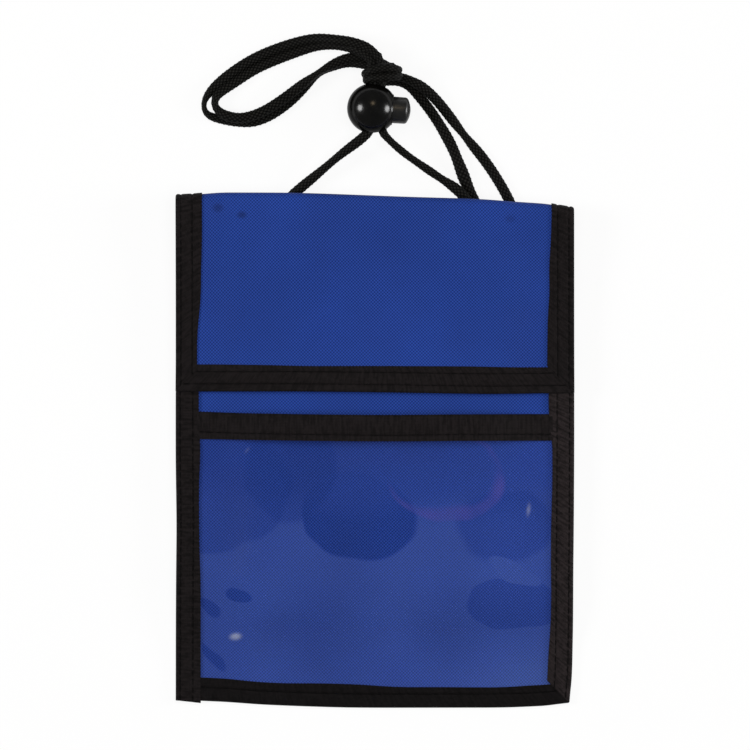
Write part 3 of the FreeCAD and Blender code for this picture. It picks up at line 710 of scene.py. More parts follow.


# Each pair: the deep colour, painted shade in the hollows, and the top colour. The second pair is
# painted paler for the light on the right tape, the third painted darker for the shade on the foot's
# tape.
TAPE_BLACKS = {
    "black_tape": [(0.0014, 0.0011, 0.0011, 1.0), (0.0122, 0.0096, 0.0100, 1.0)],
    "black_tape_painted_lit": [(0.0022, 0.0017, 0.0017, 1.0), (0.0245, 0.0188, 0.0196, 1.0)],
    "black_tape_painted_shaded": [(0.0010, 0.0008, 0.0008, 1.0), (0.0062, 0.0050, 0.0053, 1.0)],
}
black_tape, lit_painted_tape, shaded_painted_tape = [tape_finish(name, *pair) for name, pair in TAPE_BLACKS.items()]
THREAD_DEEP = (0.0008, 0.0008, 0.0008, 1.0)
THREAD_TOP = (0.003, 0.003, 0.003, 1.0)


def thread_finish():
    """A dull black with a fine unevenness."""
    finish, tree, out = blank_finish("black_thread")
    uneven = cloudy(tree, scale=1500.0, low=0.0, high=1.0)
    colour = mixed(tree, uneven, THREAD_DEEP, THREAD_TOP)
    skin = node(
        tree, "ShaderNodeBsdfPrincipled", Base_Color=colour, Roughness=0.7, Specular_IOR_Level=0.1,
    )
    tree.links.new(skin.outputs[0], out.inputs["Surface"])
    return finish


black_thread = thread_finish()
print("tape finishes", len(TAPE_BLACKS), "and one thread finish made")

# %% [markdown]
# The window is a clear soft vinyl. Where it clings to the cloth the blue looks deep, and where it
# stands off it is a little hazy. A glass shader would do for a thick sheet. Here the haze is a
# share of a glossy shader mixed into a see-through one, with patches of cling drawn as soft-edged
# ovals on the film itself. These patches are partly real haze and cling and partly painted
# reflection, and a lilac ring and a few glints on the film are a painted reflection and painted
# highlights.

# %% Patches of the film
# Each patch of cling, which also paints where less reflection shows: its place, its radii, its tilt,
# the haze that it keeps and its soft edge.
CLING_AND_REFLECTION = [
    ((-56.0, -16.0), (27.0, 20.0), 20, 0.45, 0.05),
    ((-30.0, -8.0), (16.5, 17.3), 0, 0.45, 0.07), ((4.0, 2.0), (80.0, 24.0), -3, 0.4, 0.3),
    ((46.0, -27.0), (17.0, 13.0), 0, 0.45, 0.12), ((49.0, -54.6), (17.0, 9.8), -3, 0.45, 0.03),
    ((-48.5, -51.6), (5.8, 2.2), -20, 0.15, 0.12), ((-58.8, -55.8), (4.8, 2.4), -35, 0.25, 0.15),
    ((-57.2, -73.8), (6.3, 2.3), -50, 0.25, 0.15),
]
# Each painted glint, a highlight painted as whiter and glossier film: its place, its radii, its tilt
# and its depth.
PAINTED_GLINTS = [
    ((-49.4, -66.5), (3.4, 2.1), 8, 0.1), ((54.3, -21.5), (1.3, 3.8), -8, 0.05),
    ((-45.2, -0.4), (0.9, 2.2), -35, 0.02),
]
# Each single patch, partly haze and partly painted reflection: its place, its radii, its tilt and the
# shares between which it fades.
HAZY_REFLECTING_CORNER = [(62.0, -84.0), (30.0, 22.0), 0, 0.2, 1.3]
CLUNG_MIDDLE = [(-5.0, -24.0), (20.5, 15.6), -8, 0.94, 1.04]
FADING_TOP = [(-8.0, 2.0), (48.0, 26.0), 0, 0.55, 1.1]
HAZY_REFLECTING_WEDGE = [(49.5, -43.0), (11.3, 3.4), -25, 0.85, 1.08]
# The two ovals whose difference is the ring of painted lilac reflection.
REFLECTION_RING_OUTSIDE = [(25.6, -9.8), (21.2, 16.0), -8, 0.94, 1.03]
REFLECTION_RING_INSIDE = [(22.8, -6.8), (21.6, 15.4), -8, 0.86, 1.06]
WARP = 6.0 * MM


def wavy_places(tree, where):
    """Places on the film, pushed about by a soft noise, so that patches have uneven edges."""
    warp = node(tree, "ShaderNodeTexNoise", Vector=where, Scale=70.0, Detail=1.0)
    push = node(tree, "ShaderNodeVectorMath", {"operation": "MULTIPLY_ADD"})
    join(tree, warp.outputs["Color"], push.inputs[0])
    push.inputs[1].default_value = (WARP, WARP, 0.0)
    push.inputs[2].default_value = (-WARP / 2, -WARP / 2, 0.0)
    wavy = node(tree, "ShaderNodeVectorMath", {"operation": "ADD"})
    join(tree, where, wavy.inputs[0])
    join(tree, push.outputs[0], wavy.inputs[1])
    return wavy.outputs[0]


print("film patches", len(CLING_AND_REFLECTION), "and scuffs", len(PAINTED_GLINTS))

# %% Haze of the film
CORNER_HAZE_AND_REFLECTION = 0.4
CLUNG_DEPTH = 0.95
FADING_DEPTH = 0.7
WEDGE_HAZE_AND_REFLECTION = 0.95
HAZE_RED = 0.29
HAZE_GREEN = 0.41
HAZE_BLUE_POWER = 0.6
PAINTED_LILAC_REFLECTION = (0.5, 0.24, 0.85, 1.0)


def film_haze_and_reflection(tree, where, wavy):
    """How hazy the film is, less where it clings, with painted reflection in the same patches."""
    haze = cloudy(tree, scale=30.0, low=0.62, high=0.85, detail=1.0)
    # Partly painted reflection: the corner and the wedge are brighter, the patches of cling darker.
    corner = oval(tree, where, *HAZY_REFLECTING_CORNER)
    haze = calc(tree, "ADD", haze, calc(tree, "MULTIPLY", corner, CORNER_HAZE_AND_REFLECTION))
    for centre, radii, tilt, keep, edge in CLING_AND_REFLECTION:
        spot = oval(tree, wavy, centre, radii, tilt, 1.0 - edge, 1.0 + edge)
        haze = less(tree, haze, spot, 1.0 - keep)
    clung = oval(tree, wavy, *CLUNG_MIDDLE)
    fading = oval(tree, where, *FADING_TOP)
    depth = calc(tree, "SUBTRACT", CLUNG_DEPTH, calc(tree, "MULTIPLY", fading, FADING_DEPTH))
    haze = less(tree, haze, clung, depth)
    wedge = oval(tree, wavy, *HAZY_REFLECTING_WEDGE)
    return calc(tree, "MAXIMUM", haze, calc(tree, "MULTIPLY", wedge, WEDGE_HAZE_AND_REFLECTION))


def film_tint(tree, haze, wavy):
    """Colour of the haze, deeper where there is less of it, with a painted lilac reflection in a ring.
    """
    blue = node(tree, "ShaderNodeCombineColor")
    join(tree, calc(tree, "MULTIPLY", haze, HAZE_RED), blue.inputs[0])
    join(tree, calc(tree, "MULTIPLY", haze, HAZE_GREEN), blue.inputs[1])
    most = calc(tree, "POWER", haze, HAZE_BLUE_POWER)
    join(tree, calc(tree, "MINIMUM", most, 1.0), blue.inputs[2])
    # Painted reflection: a broken lilac ring mixed into the colour.
    ring = less(tree, oval(tree, wavy, *REFLECTION_RING_OUTSIDE), oval(tree, wavy, *REFLECTION_RING_INSIDE), 1.0)
    broken = cloudy(tree, scale=90.0, low=0.15, high=0.9, detail=1.0)
    ring = calc(tree, "MULTIPLY", ring, broken)
    return mixed(tree, ring, blue.outputs[0], PAINTED_LILAC_REFLECTION)


def painted_film_glint(tree, where):
    """More shine at the painted glints, which are painted highlights."""
    glint = 0.0
    for centre, radii, tilt, depth in PAINTED_GLINTS:
        spot = oval(tree, where, centre, radii, tilt, 0.0, 1.0)
        glint = calc(tree, "ADD", glint, calc(tree, "MULTIPLY", spot, depth))
    return glint


print("haze ready, with a tint of", HAZE_RED, HAZE_GREEN)

# %% Film finish
PLAIN_SHARE = 0.037
TURNED_SHARE = 0.2
GLINT_WHITENING = 14.0
GLINT_WHITE = (0.85, 0.9, 1.0, 1.0)


def film_finish():
    """See-through, with a share of gloss that shows the haze."""
    finish, tree, out = blank_finish("clear_vinyl")
    where = node(tree, "ShaderNodeTexCoord").outputs["Object"]
    wavy = wavy_places(tree, where)
    colour = film_tint(tree, film_haze_and_reflection(tree, where, wavy), wavy)
    # Painted highlights: the glints whiten the colour and add to the share of gloss.
    glint = painted_film_glint(tree, where)
    white = calc(tree, "MINIMUM", calc(tree, "MULTIPLY", glint, GLINT_WHITENING), 1.0)
    colour = mixed(tree, white, colour, GLINT_WHITE)
    facing = node(tree, "ShaderNodeLayerWeight", Blend=0.25)
    turned = calc(tree, "MULTIPLY", facing.outputs["Fresnel"], TURNED_SHARE)
    share = calc(tree, "ADD", calc(tree, "ADD", turned, PLAIN_SHARE), glint)
    gloss = node(tree, "ShaderNodeBsdfPrincipled", Base_Color=colour, Roughness=0.2, IOR=1.5)
    clear = node(tree, "ShaderNodeBsdfTransparent")
    mix = node(tree, "ShaderNodeMixShader", Fac=share)
    tree.links.new(clear.outputs[0], mix.inputs[1])
    tree.links.new(gloss.outputs[0], mix.inputs[2])
    tree.links.new(mix.outputs[0], out.inputs["Surface"])
    return finish


clear_vinyl = film_finish()
print("film finish made")

# %% [markdown]
# The cord is a dull black braid, the ball lock a glossy black plastic with fine scuffs, the eyelets
# are black enamel, the spring plain steel, and the closure a dull black pile. The braid is two
# sets of slanting sine waves that cross, with painted shade in the gaps between the yarns. The rest
# differ only in tone, gloss and grain, so one function makes them all.

# %% Cord finish
BRAID_AROUND = 8
BRAID_PITCH = 1.75
# The deep colour is painted shade in the gaps between the yarns.
CORD_GAP_SHADE = (0.0006, 0.0006, 0.0005, 1.0)
CORD_TOP = (0.0165, 0.0160, 0.0142, 1.0)
YARN_POWER = 1.7


def cord_finish():
    """Two sets of yarns that cross, paler on top, with painted shade in the gaps."""
    finish, tree, out = blank_finish("cord_braid")
    u, v = uv_lengths(tree, 1.0 / BRAID_AROUND, BRAID_PITCH * MM)
    one_way = hump(tree, calc(tree, "ADD", u, v))
    other_way = hump(tree, calc(tree, "SUBTRACT", u, v))
    yarn = calc(tree, "MULTIPLY", one_way, other_way)
    # Painted shade: the gaps between the yarns take the deep colour.
    colour = mixed(tree, calc(tree, "POWER", yarn, YARN_POWER), CORD_GAP_SHADE, CORD_TOP)
    bump = node(tree, "ShaderNodeBump", Height=yarn, Strength=0.4, Distance=0.08 * MM)
    skin = node(
        tree, "ShaderNodeBsdfPrincipled", Base_Color=colour, Roughness=0.55, Specular_IOR_Level=0.08,
        Normal=bump.outputs[0],
    )
    tree.links.new(skin.outputs[0], out.inputs["Surface"])
    return finish


cord_braid = cord_finish()
print("cord finish made,", BRAID_AROUND, "yarns round")

# %% Lock and small finishes
LOCK_BLACK = [(0.0012, 0.0011, 0.001, 1), (0.003, 0.0028, 0.0024, 1)]
ENAMEL_BLACK = [(0.008, 0.008, 0.008, 1), (0.02, 0.02, 0.02, 1)]
STEEL_GREY = [(0.45, 0.45, 0.47, 1), (0.6, 0.6, 0.62, 1)]
PILE_BLACK = [(0.006, 0.006, 0.008, 1), (0.03, 0.03, 0.034, 1)]
PLAIN_LEVEL = 0.5
RIM_FACING = (0.22, 0.42)


def hard_finish(name, tones, rough, grain, uneven, metal=0.0, ior=1.5, rim=None):
    """A hard surface with fine unevenness in colour, gloss and height, duller at its rim if asked."""
    finish, tree, out = blank_finish(name)
    colour = mixed(tree, cloudy(tree, grain, low=0.0, high=1.0), *tones)
    gloss = cloudy(tree, grain * 3.0, *rough)
    where = node(tree, "ShaderNodeTexCoord").outputs["Object"]
    noise = node(tree, "ShaderNodeTexNoise", Vector=where, Scale=grain * 2.0, Detail=2.0)
    bump = node(tree, "ShaderNodeBump", Height=noise.outputs[0], Strength=uneven, Distance=0.1 * MM)
    skin = node(
        tree, "ShaderNodeBsdfPrincipled", Base_Color=colour, Roughness=gloss, Metallic=metal, IOR=ior,
        Normal=bump.outputs[0],
    )
    if rim is not None:
        turned = node(tree, "ShaderNodeLayerWeight", Blend=0.5).outputs["Facing"]
        level = ramp(tree, turned, RIM_FACING, (PLAIN_LEVEL, rim), "LINEAR")
        tree.links.new(level, skin.inputs["Specular IOR Level"])
    tree.links.new(skin.outputs[0], out.inputs["Surface"])
    return finish


lock_plastic = hard_finish(
    "lock_plastic", LOCK_BLACK, rough=(0.15, 0.23), grain=300.0, uneven=0.06, ior=1.46, rim=0.04,
)
button_plastic = hard_finish(
    "button_plastic", LOCK_BLACK, rough=(0.34, 0.42), grain=300.0, uneven=0.1, ior=1.8, rim=0.15,
)
enamel = hard_finish("black_enamel", ENAMEL_BLACK, rough=(0.25, 0.4), grain=400.0, uneven=0.1)
steel = hard_finish("spring_steel", STEEL_GREY, rough=(0.25, 0.4), grain=500.0, uneven=0.1, metal=1.0)
pile = hard_finish("closure_pile", PILE_BLACK, rough=(0.85, 0.95), grain=1400.0, uneven=1.0)
print("lock, enamel, steel and pile finishes made")

# %% [markdown]
# ## The cord itself
# The braid is soft and lies a little flat, so its section is an oval, wider than it is tall. The
# oval is carried along the line with its flat side down wherever the cord lies, and turned up on
# edge where the loop turns back. A curve with a bevel has one section only, so the tube is built
# ring by ring, which lets its width change. The yarns are raised as real lumps on it.

# %% Widths of the cord
CORD_WIDE = 3.6
CORD_TALL = 2.4
PINCHED = 2.95
PINCH_POINT = np.array([1.5, 128.0, 8.1])
PINCH_REACH = 11.0
PINCH_FADE = 5.0
TURN_POINT = np.array([2.0, 135.0, 8.0])
TURN_REACH = 5.0
TURN_FADE = 1.5
TURN_LUMPS = 0.3
LUMP_RATE = 2.1
LUMP_LEAN = 0.5
LUMP_TALL_SHARE = 0.7
# Each stretch that is turned or pressed: its place, its reach, its width and its height.
PRESSED = [
    ((-60.0, 121.5), 5.0, 1.8, 3.2), ((-20.2, 133.0), 5.0, 2.1, 3.2),
    ((-15.5, 101.5), 8.0, 2.75, 2.6), ((13.0, 102.0), 9.0, 2.55, 2.6), ((5.0, 108.0), 6.0, 2.5, 2.6),
    ((26.0, 109.0), 4.5, 4.2, 2.1), ((31.3, 111.3), 4.5, 2.7, 2.4), ((31.3, 97.0), 5.0, 4.4, 2.0),
    ((23.0, 96.0), 4.5, 2.7, 2.6),
]


def widths_along(line, at):
    """The cord is squeezed in the lock, lumpy in the round turn, and pressed here and there."""
    pinch = 1 - s_curve((np.linalg.norm(line - PINCH_POINT, axis=1) - PINCH_REACH) / PINCH_FADE)
    wide = CORD_WIDE + (PINCHED - CORD_WIDE) * pinch
    tall = np.full(len(line), CORD_TALL)
    for place, reach, narrow, high in PRESSED:
        turned = np.exp(-(np.linalg.norm(line[:, :2] - place, axis=1) / reach) ** 2)
        wide = wide + (narrow - wide) * turned
        tall = tall + (high - tall) * turned
    tied = 1 - s_curve((np.linalg.norm(line - TURN_POINT, axis=1) - TURN_REACH) / TURN_FADE)
    lumps = TURN_LUMPS * tied * (LUMP_LEAN + np.sin(at * LUMP_RATE))
    return (wide + lumps)[:, None], (tall + LUMP_TALL_SHARE * lumps)[:, None]


cord_wide, cord_tall = widths_along(cord_line, cord_at)
print("cord is", round(cord_wide.min(), 1), "to", round(cord_wide.max(), 1), "mm wide")

# %% Directions along the cord
STEEP = 0.05
LEVEL_PULL = 0.06


def frames_along(line):
    """Side and up directions along a line, level wherever the line allows it."""
    ahead = np.gradient(line, axis=0)
    ahead /= np.linalg.norm(ahead, axis=1, keepdims=True)
    side = np.zeros_like(ahead)
    last = np.array([1.0, 0.0, 0.0])
    for index, forward in enumerate(ahead):
        level = np.cross(forward, (0.0, 0.0, 1.0))
        reach = np.linalg.norm(level)
        carried = last - forward * last.dot(forward)
        carried /= np.linalg.norm(carried)
        if reach > STEEP:
            level = level / reach
            if level.dot(carried) < 0:
                level = -level
            pull = LEVEL_PULL * reach
            carried = carried * (1 - pull) + level * pull
            carried /= np.linalg.norm(carried)
        side[index] = carried
        last = carried
    return side, np.cross(side, ahead)


print("cord turns level by", LEVEL_PULL, "at each step")

# %% Cord tube
CORD_ROUND = 40
YARN_RAISE = 0.14
YARN_MEAN = 0.4
ALL_SMOOTH = 180.0


def tube_faces(rings, spokes, base=0):
    """Faces of a closed tube of rings of points, with a cap at each end."""
    faces = []
    for ring in range(rings - 1):
        for spoke in range(spokes):
            a = base + ring * spokes + spoke
            b = base + ring * spokes + (spoke + 1) % spokes
            faces.append((a, b, b + spokes, a + spokes))
    last = base + (rings - 1) * spokes
    faces.append(tuple(range(base, base + spokes))[::-1])
    faces.append(tuple(range(last, last + spokes)))
    return faces


def braid_tube(name, line, at, wide, tall, finish):
    """A closed oval tube along a line, with raised yarns."""
    side, up = frames_along(line)
    turn = np.linspace(0.0, 2 * math.pi, CORD_ROUND, endpoint=False)
    along = at[:, None] / BRAID_PITCH * math.pi
    round_by = turn[None, :] * BRAID_AROUND / 2
    yarns = np.abs(np.sin(round_by + along) * np.sin(round_by - along))
    raise_by = 1.0 + YARN_RAISE * (yarns - YARN_MEAN)
    across = np.cos(turn)[None, :] * raise_by * wide / 2
    over = np.sin(turn)[None, :] * raise_by * tall / 2
    points = line[:, None, :] + across[..., None] * side[:, None, :] + over[..., None] * up[:, None, :]
    faces = tube_faces(len(line), CORD_ROUND)
    made = object_from(name, points.reshape(-1, 3), faces, finish, ALL_SMOOTH)
    corner = corner_points(made)
    lay_uv(made, (corner % CORD_ROUND) / CORD_ROUND, at[corner // CORD_ROUND] * MM)
    return made


neck_cord = braid_tube("neck_cord", cord_line, cord_at, cord_wide, cord_tall, cord_braid)
print("cord tube", len(neck_cord.data.vertices), "points")

# %% [markdown]
# ## The pouch's three sheets
# The back and front panels are cut from the blue cloth, and the window from the film. The front
# panel's top edge is turned over in a hem, which is the mouth of the main pocket under the flap.
# The hem could be a strip of its own, but it is the same cloth, so the panel's grid just runs on
# over its own edge. The two eyelet holes are punched through the back with a Boolean modifier.

# %% Pouch sheets
CLOTH_EDGE = HALF_WIDTH - TAPE
BACK_TOP = 88.0
MOUTH = 60.5
HEM = 8.0
HEM_TURN = 0.4
HEM_BULGE = 0.1
HEM_TURN_RISES = [0.12, 0.3, 0.48]
HEM_RISE = 0.6
HEM_PRESS = 1.5
CLOTH_COLUMNS = 113
BACK_ROWS = 143
FRONT_ROWS = 121
HEM_ROWS = 8
FILM_COLUMNS = 233
FILM_ROWS = 171
WINDOW_BEND_FROM = -10.0
WINDOW_BEND_RUN = 22.0
wide_xs = np.linspace(-CLOTH_EDGE, CLOTH_EDGE, CLOTH_COLUMNS)
back_ys = np.linspace(FOOT, BACK_TOP, BACK_ROWS)
back_cloth = sheet("back_cloth", surface(wide_xs, back_ys, back_mid), CLOTH, blue_cloth)

hem_ys = np.concatenate([
    np.linspace(FOOT, MOUTH - HEM_TURN, FRONT_ROWS),
    [MOUTH - HEM_BULGE, MOUTH, MOUTH - HEM_BULGE],
    np.linspace(MOUTH - HEM_TURN, MOUTH - HEM, HEM_ROWS),
])
hem_up = np.concatenate([np.zeros(FRONT_ROWS), HEM_TURN_RISES, np.full(HEM_ROWS, HEM_RISE)])
x, y = np.meshgrid(wide_xs, hem_ys)
sewn_flat = 0.5 + 0.5 * s_curve((TAPE_INNER + HEM_PRESS - np.abs(x)) / (2 * HEM_PRESS))
hem_grid = np.stack([x, y, front_mid(x, y) + hem_up[:, None] * sewn_flat], axis=2)
front_cloth = sheet("front_cloth", settle(hem_grid), CLOTH, blue_cloth)

film_xs = np.linspace(-CLOTH_EDGE, CLOTH_EDGE, FILM_COLUMNS)
film_ys = np.linspace(FOOT, WINDOW_TOP, FILM_ROWS)
x, y = np.meshgrid(film_xs, film_ys)
y = y + wander(WINDOW_WANDER, x) * s_curve((y - WINDOW_BEND_FROM) / WINDOW_BEND_RUN)
film_grid = np.stack([x, y, film_mid(x, y)], axis=2)
window_film = sheet("window_film", settle(film_grid), FILM, clear_vinyl)
print("pouch sheets made, hem", HEM, "mm")

# %% Eyelet holes
EYELETS = [(-38.0, 76.0, 4.75), (38.0, 76.0, 4.75)]
EYELET_HOLE = 2.15
PUNCH_SIDES = 32
PUNCH_DEPTH = 10.0


def cut_away(made, cutter):
    """Subtract one closed shape from another and remove the cutter."""
    cut = made.modifiers.new("cut", "BOOLEAN")
    cut.object = cutter
    cut.solver = "EXACT"
    bpy.context.view_layer.objects.active = made
    bpy.ops.object.modifier_apply(modifier=cut.name)
    bpy.data.objects.remove(cutter)


for place in EYELETS:
    bpy.ops.mesh.primitive_cylinder_add(
        vertices=PUNCH_SIDES, radius=EYELET_HOLE * MM, depth=PUNCH_DEPTH * MM,
        location=Vector(place) * MM,
    )
    cut_away(back_cloth, bpy.context.object)
print("eyelet holes", len(EYELETS))

# %% [markdown]
# ## Binding tapes
# Each tape is folded over a raw edge like a U. One function draws the U as a row of points, from
# the edge of the upper leg round the fold to the edge of the lower leg. Another says where a
# point of the U lies on the wallet. A profile swept on a curve could do it too, but not with the
# mitres and the uneven widths. Rows of sewing pull a shallow groove into both legs.

# %% Tape maker
GROOVE = 0.3
GROOVE_WIDTH = 0.42
FOLD_ROOM = 0.75
LEG_POINTS = 25
FOLD_POINTS = 9
LEG_SHARE = 0.7


def tape_section(width, half, seams):
    """Points of the folded tape: distance in from the fold, and height over the middle."""
    leg = np.linspace(1.0, 0.0, LEG_POINTS)[:-1]
    turn = np.linspace(90.0, -90.0, FOLD_POINTS) * math.pi / 180
    inward = np.concatenate([
        FOLD_ROOM + (width - FOLD_ROOM) * leg,
        FOLD_ROOM * (1 - np.cos(turn)),
        FOLD_ROOM + (width - FOLD_ROOM) * leg[::-1],
    ])
    height = np.concatenate([np.full(len(leg), half), half * np.sin(turn), np.full(len(leg), -half)])
    dip = sum(np.exp(-((inward - seam) / GROOVE_WIDTH) ** 2) for seam in seams)
    pulled = GROOVE * np.minimum(dip, 1.0) * (np.abs(height) > half * LEG_SHARE)
    return inward, height - np.sign(height) * pulled


def folded_tape(name, place, rows, width, half, seams, finish=None):
    """A folded tape. place gives points for distances in, shares along and heights."""
    grid = []
    for share in np.linspace(0.0, 1.0, rows) if np.isscalar(rows) else rows:
        inward, height = tape_section(width(share), half, seams)
        grid.append(place(inward, np.full_like(inward, share), height))
    return sheet(name, settle(np.array(grid)), TAPE, finish or black_tape)


print("tape", TAPE, "mm thick, folded to about", TAPE_WIDTH, "mm")

# %% Stitch maker
STITCH_PITCH = 2.9
STITCH_LONG = 2.3
STITCH_THICK = 0.3
STITCH_SINK = 0.16
STITCH_SIDES = 6
STITCH_LEAN = (0.31, 0.2, 0.93)
STITCH_SHARP = 60.0
# Each ring of a stitch: its share of the length and of the thickness.
STITCH_RINGS = [(-0.5, 0.25), (-0.42, 0.75), (-0.25, 1.0), (0.25, 1.0), (0.42, 0.75), (0.5, 0.25)]


def stitch_row(place, length, inward, height):
    """Short threads along a seam: both ends of each."""
    count = int(length / STITCH_PITCH)
    reach = STITCH_LONG / length / 2
    threads = []
    for index in range(count):
        middle = (index + 0.5) / count
        ends = np.array([middle - reach, middle + reach])
        threads.append(settle(place(np.full(2, inward), ends, np.full(2, height))))
    return threads


def seam_rows(place, length, seams, half, faces=(1, -1)):
    """Threads along every seam of a tape, on both faces unless said."""
    above = half + TAPE / 2 - STITCH_SINK
    threads = []
    for face in faces:
        for seam in seams:
            threads += stitch_row(place, length, seam, face * above)
    return threads


def stitches(name, threads):
    """All the threads of one tape as one piece, each a short bead with rounded ends."""
    points, faces = [], []
    for start, end in threads:
        ahead = end - start
        length = np.linalg.norm(ahead)
        ahead = ahead / length
        side = np.cross(ahead, STITCH_LEAN)
        side /= np.linalg.norm(side)
        up = np.cross(side, ahead)
        faces += tube_faces(len(STITCH_RINGS), STITCH_SIDES, len(points))
        for place, size in STITCH_RINGS:
            for step in range(STITCH_SIDES):
                angle = 2 * math.pi * step / STITCH_SIDES
                off = (side * math.cos(angle) + up * math.sin(angle)) * STITCH_THICK / 2 * size
                points.append((start + end) / 2 + ahead * length * place + off)
    return object_from(name, points, faces, black_thread, STITCH_SHARP)


print("one stitch every", STITCH_PITCH, "mm")

# %% [markdown]
# The tapes of the pouch hold three layers: back, front and film. The left one runs past the
# bottom one, the right one meets it in a mitre, and the window's own tape sits between them.
# Mirrored copies would be quicker, but the ends differ, so each tape has a function for its place.

# %% Places of the pouch tapes
OUTER = HALF_WIDTH - TAPE / 2
STACK_MID = 0.675
SIDE_TOP = 83.4
LEFT_OVERHANG = 0.2
LEFT_SLANT = 0.065
FOOT_LAP = 1.2
WINDOW_LAP = 0.9
WINDOW_RISE = 0.3
WINDOW_CLEAR = 0.3


def left_place(inward, share, height):
    """The left tape runs past the foot, cut a little askew."""
    low = FOOT_EDGE - LEFT_OVERHANG - LEFT_SLANT * inward
    y = low + share * (SIDE_TOP - low)
    return np.stack([inward - OUTER, y, rear(y) + STACK_MID + height], axis=-1)


def right_place(inward, share, height):
    """The right tape starts at the mitre."""
    low = FOOT_EDGE + TAPE / 2 + inward
    y = low + share * (SIDE_TOP - low)
    return np.stack([OUTER - inward, y, rear(y) + STACK_MID + height], axis=-1)


def foot_place(inward, share, height):
    """The foot's tape goes from under the left tape to the mitre."""
    high = OUTER - inward
    low = -TAPE_INNER - FOOT_LAP
    x = low + share * (high - low)
    y = FOOT_EDGE + TAPE / 2 + inward
    return np.stack([x, y, rear(y) + STACK_MID + height], axis=-1)


def window_place(inward, share, height):
    """The window's tape follows the film and stays clear of the cloth under it."""
    x = (share - 0.5) * 2 * (TAPE_INNER + WINDOW_LAP)
    y = WINDOW_TOP + WINDOW_RISE + wander(WINDOW_WANDER, x) - inward
    z = film_mid(x, y) + height
    floor_z = rear(y) + 2 * CLOTH + lift(y) * swell(x) + WINDOW_CLEAR
    return np.stack([x, y, np.maximum(z, floor_z)], axis=-1)


print("side tapes end at", SIDE_TOP, "mm")

# %% Tapes of the pouch
STACK_HALF = 0.95
FOOT_SLACK = 0.04
FOOT_HALF = STACK_HALF - FOOT_SLACK
WINDOW_HALF = FILM / 2 + TAPE / 2
SIDE_SEAMS = (1.4, 5.8)
FOOT_SEAMS = (4.6,)
WINDOW_SEAMS = (6.9,)
SIDE_ROWS = 150
SHORT_ROWS = 110
FOOT_WIDTHS = [
    (-62, 8.1), (-50, 8.1), (-42, 7.7), (-28, 7.6), (-18, 8.0), (-5, 8.05), (4, 7.6), (12, 7.0),
    (28, 7.0), (42, 6.9), (52, 6.85), (60, 7.2),
]
LEFT_SIDE_WIDTHS = [
    (-90, 8.55), (-58, 8.5), (-46, 8.45), (-38, 8.1), (-28, 7.75), (-14, 7.85), (-8, 8.0), (-3, 8.6),
    (4, 8.3), (10, 7.9), (90, 7.9),
]
RIGHT_SIDE_WIDTHS = [
    (-90, 8.5), (-80, 8.4), (-72, 7.8), (-60, 7.5), (-44, 7.75), (-30, 7.75), (-16, 7.4), (0, 7.5),
    (6, 8.8), (90, 8.8),
]
WINDOW_WIDTHS = [(-62, 9.6), (-52, 9.2), (0, 9.1), (62, 9.2)]


def side_width(table):
    """Width of a side tape for a share of its length."""
    return lambda share: wander(table, FOOT_EDGE + share * (SIDE_TOP - FOOT_EDGE))


def foot_width(share):
    """Width of the foot's tape."""
    return wander(FOOT_WIDTHS, -TAPE_INNER + share * (HALF_WIDTH + TAPE_INNER))


def window_width(share):
    """Width of the window's tape."""
    return wander(WINDOW_WIDTHS, (share - 0.5) * 2 * TAPE_INNER)


left_tape = folded_tape(
    "left_tape", left_place, SIDE_ROWS, side_width(LEFT_SIDE_WIDTHS), STACK_HALF, SIDE_SEAMS,
)
# The right tape takes the copy painted paler for light, the foot's tape the copy painted darker for
# shade.
right_tape = folded_tape(
    "right_tape", right_place, SIDE_ROWS, side_width(RIGHT_SIDE_WIDTHS), STACK_HALF, SIDE_SEAMS,
    lit_painted_tape,
)
foot_tape = folded_tape(
    "bottom_tape", foot_place, SHORT_ROWS, foot_width, FOOT_HALF, FOOT_SEAMS, shaded_painted_tape,
)
window_tape = folded_tape(
    "window_top_tape", window_place, SHORT_ROWS, window_width, WINDOW_HALF, WINDOW_SEAMS,
)
print("pouch tapes made")

# %% Stitches of the pouch
LEFT_RUN = 173.0
RIGHT_RUN = 170.0
FOOT_RUN = 126.0
WINDOW_RUN = 122.0
left_rows = seam_rows(left_place, LEFT_RUN, SIDE_SEAMS, STACK_HALF)
right_rows = seam_rows(right_place, RIGHT_RUN, SIDE_SEAMS, STACK_HALF)
foot_rows = seam_rows(foot_place, FOOT_RUN, FOOT_SEAMS, STACK_HALF)
window_rows = seam_rows(window_place, WINDOW_RUN, WINDOW_SEAMS, WINDOW_HALF, faces=(1,))
left_stitches = stitches("left_stitches", left_rows)
right_stitches = stitches("right_stitches", right_rows)
bottom_stitches = stitches("bottom_stitches", foot_rows)
window_stitches = stitches("window_stitches", window_rows)
print("pouch stitches", len(left_rows + right_rows + foot_rows + window_rows))

# %% [markdown]
# ## The flap
# The flap is one cloth with a soft roll at the fold. A bend modifier could roll a flat sheet.
# Here a length along the cloth, from its lower edge up, over the roll and a little way down on the
# back panel, gives every point, so the tape and its sewing can follow the same roll.

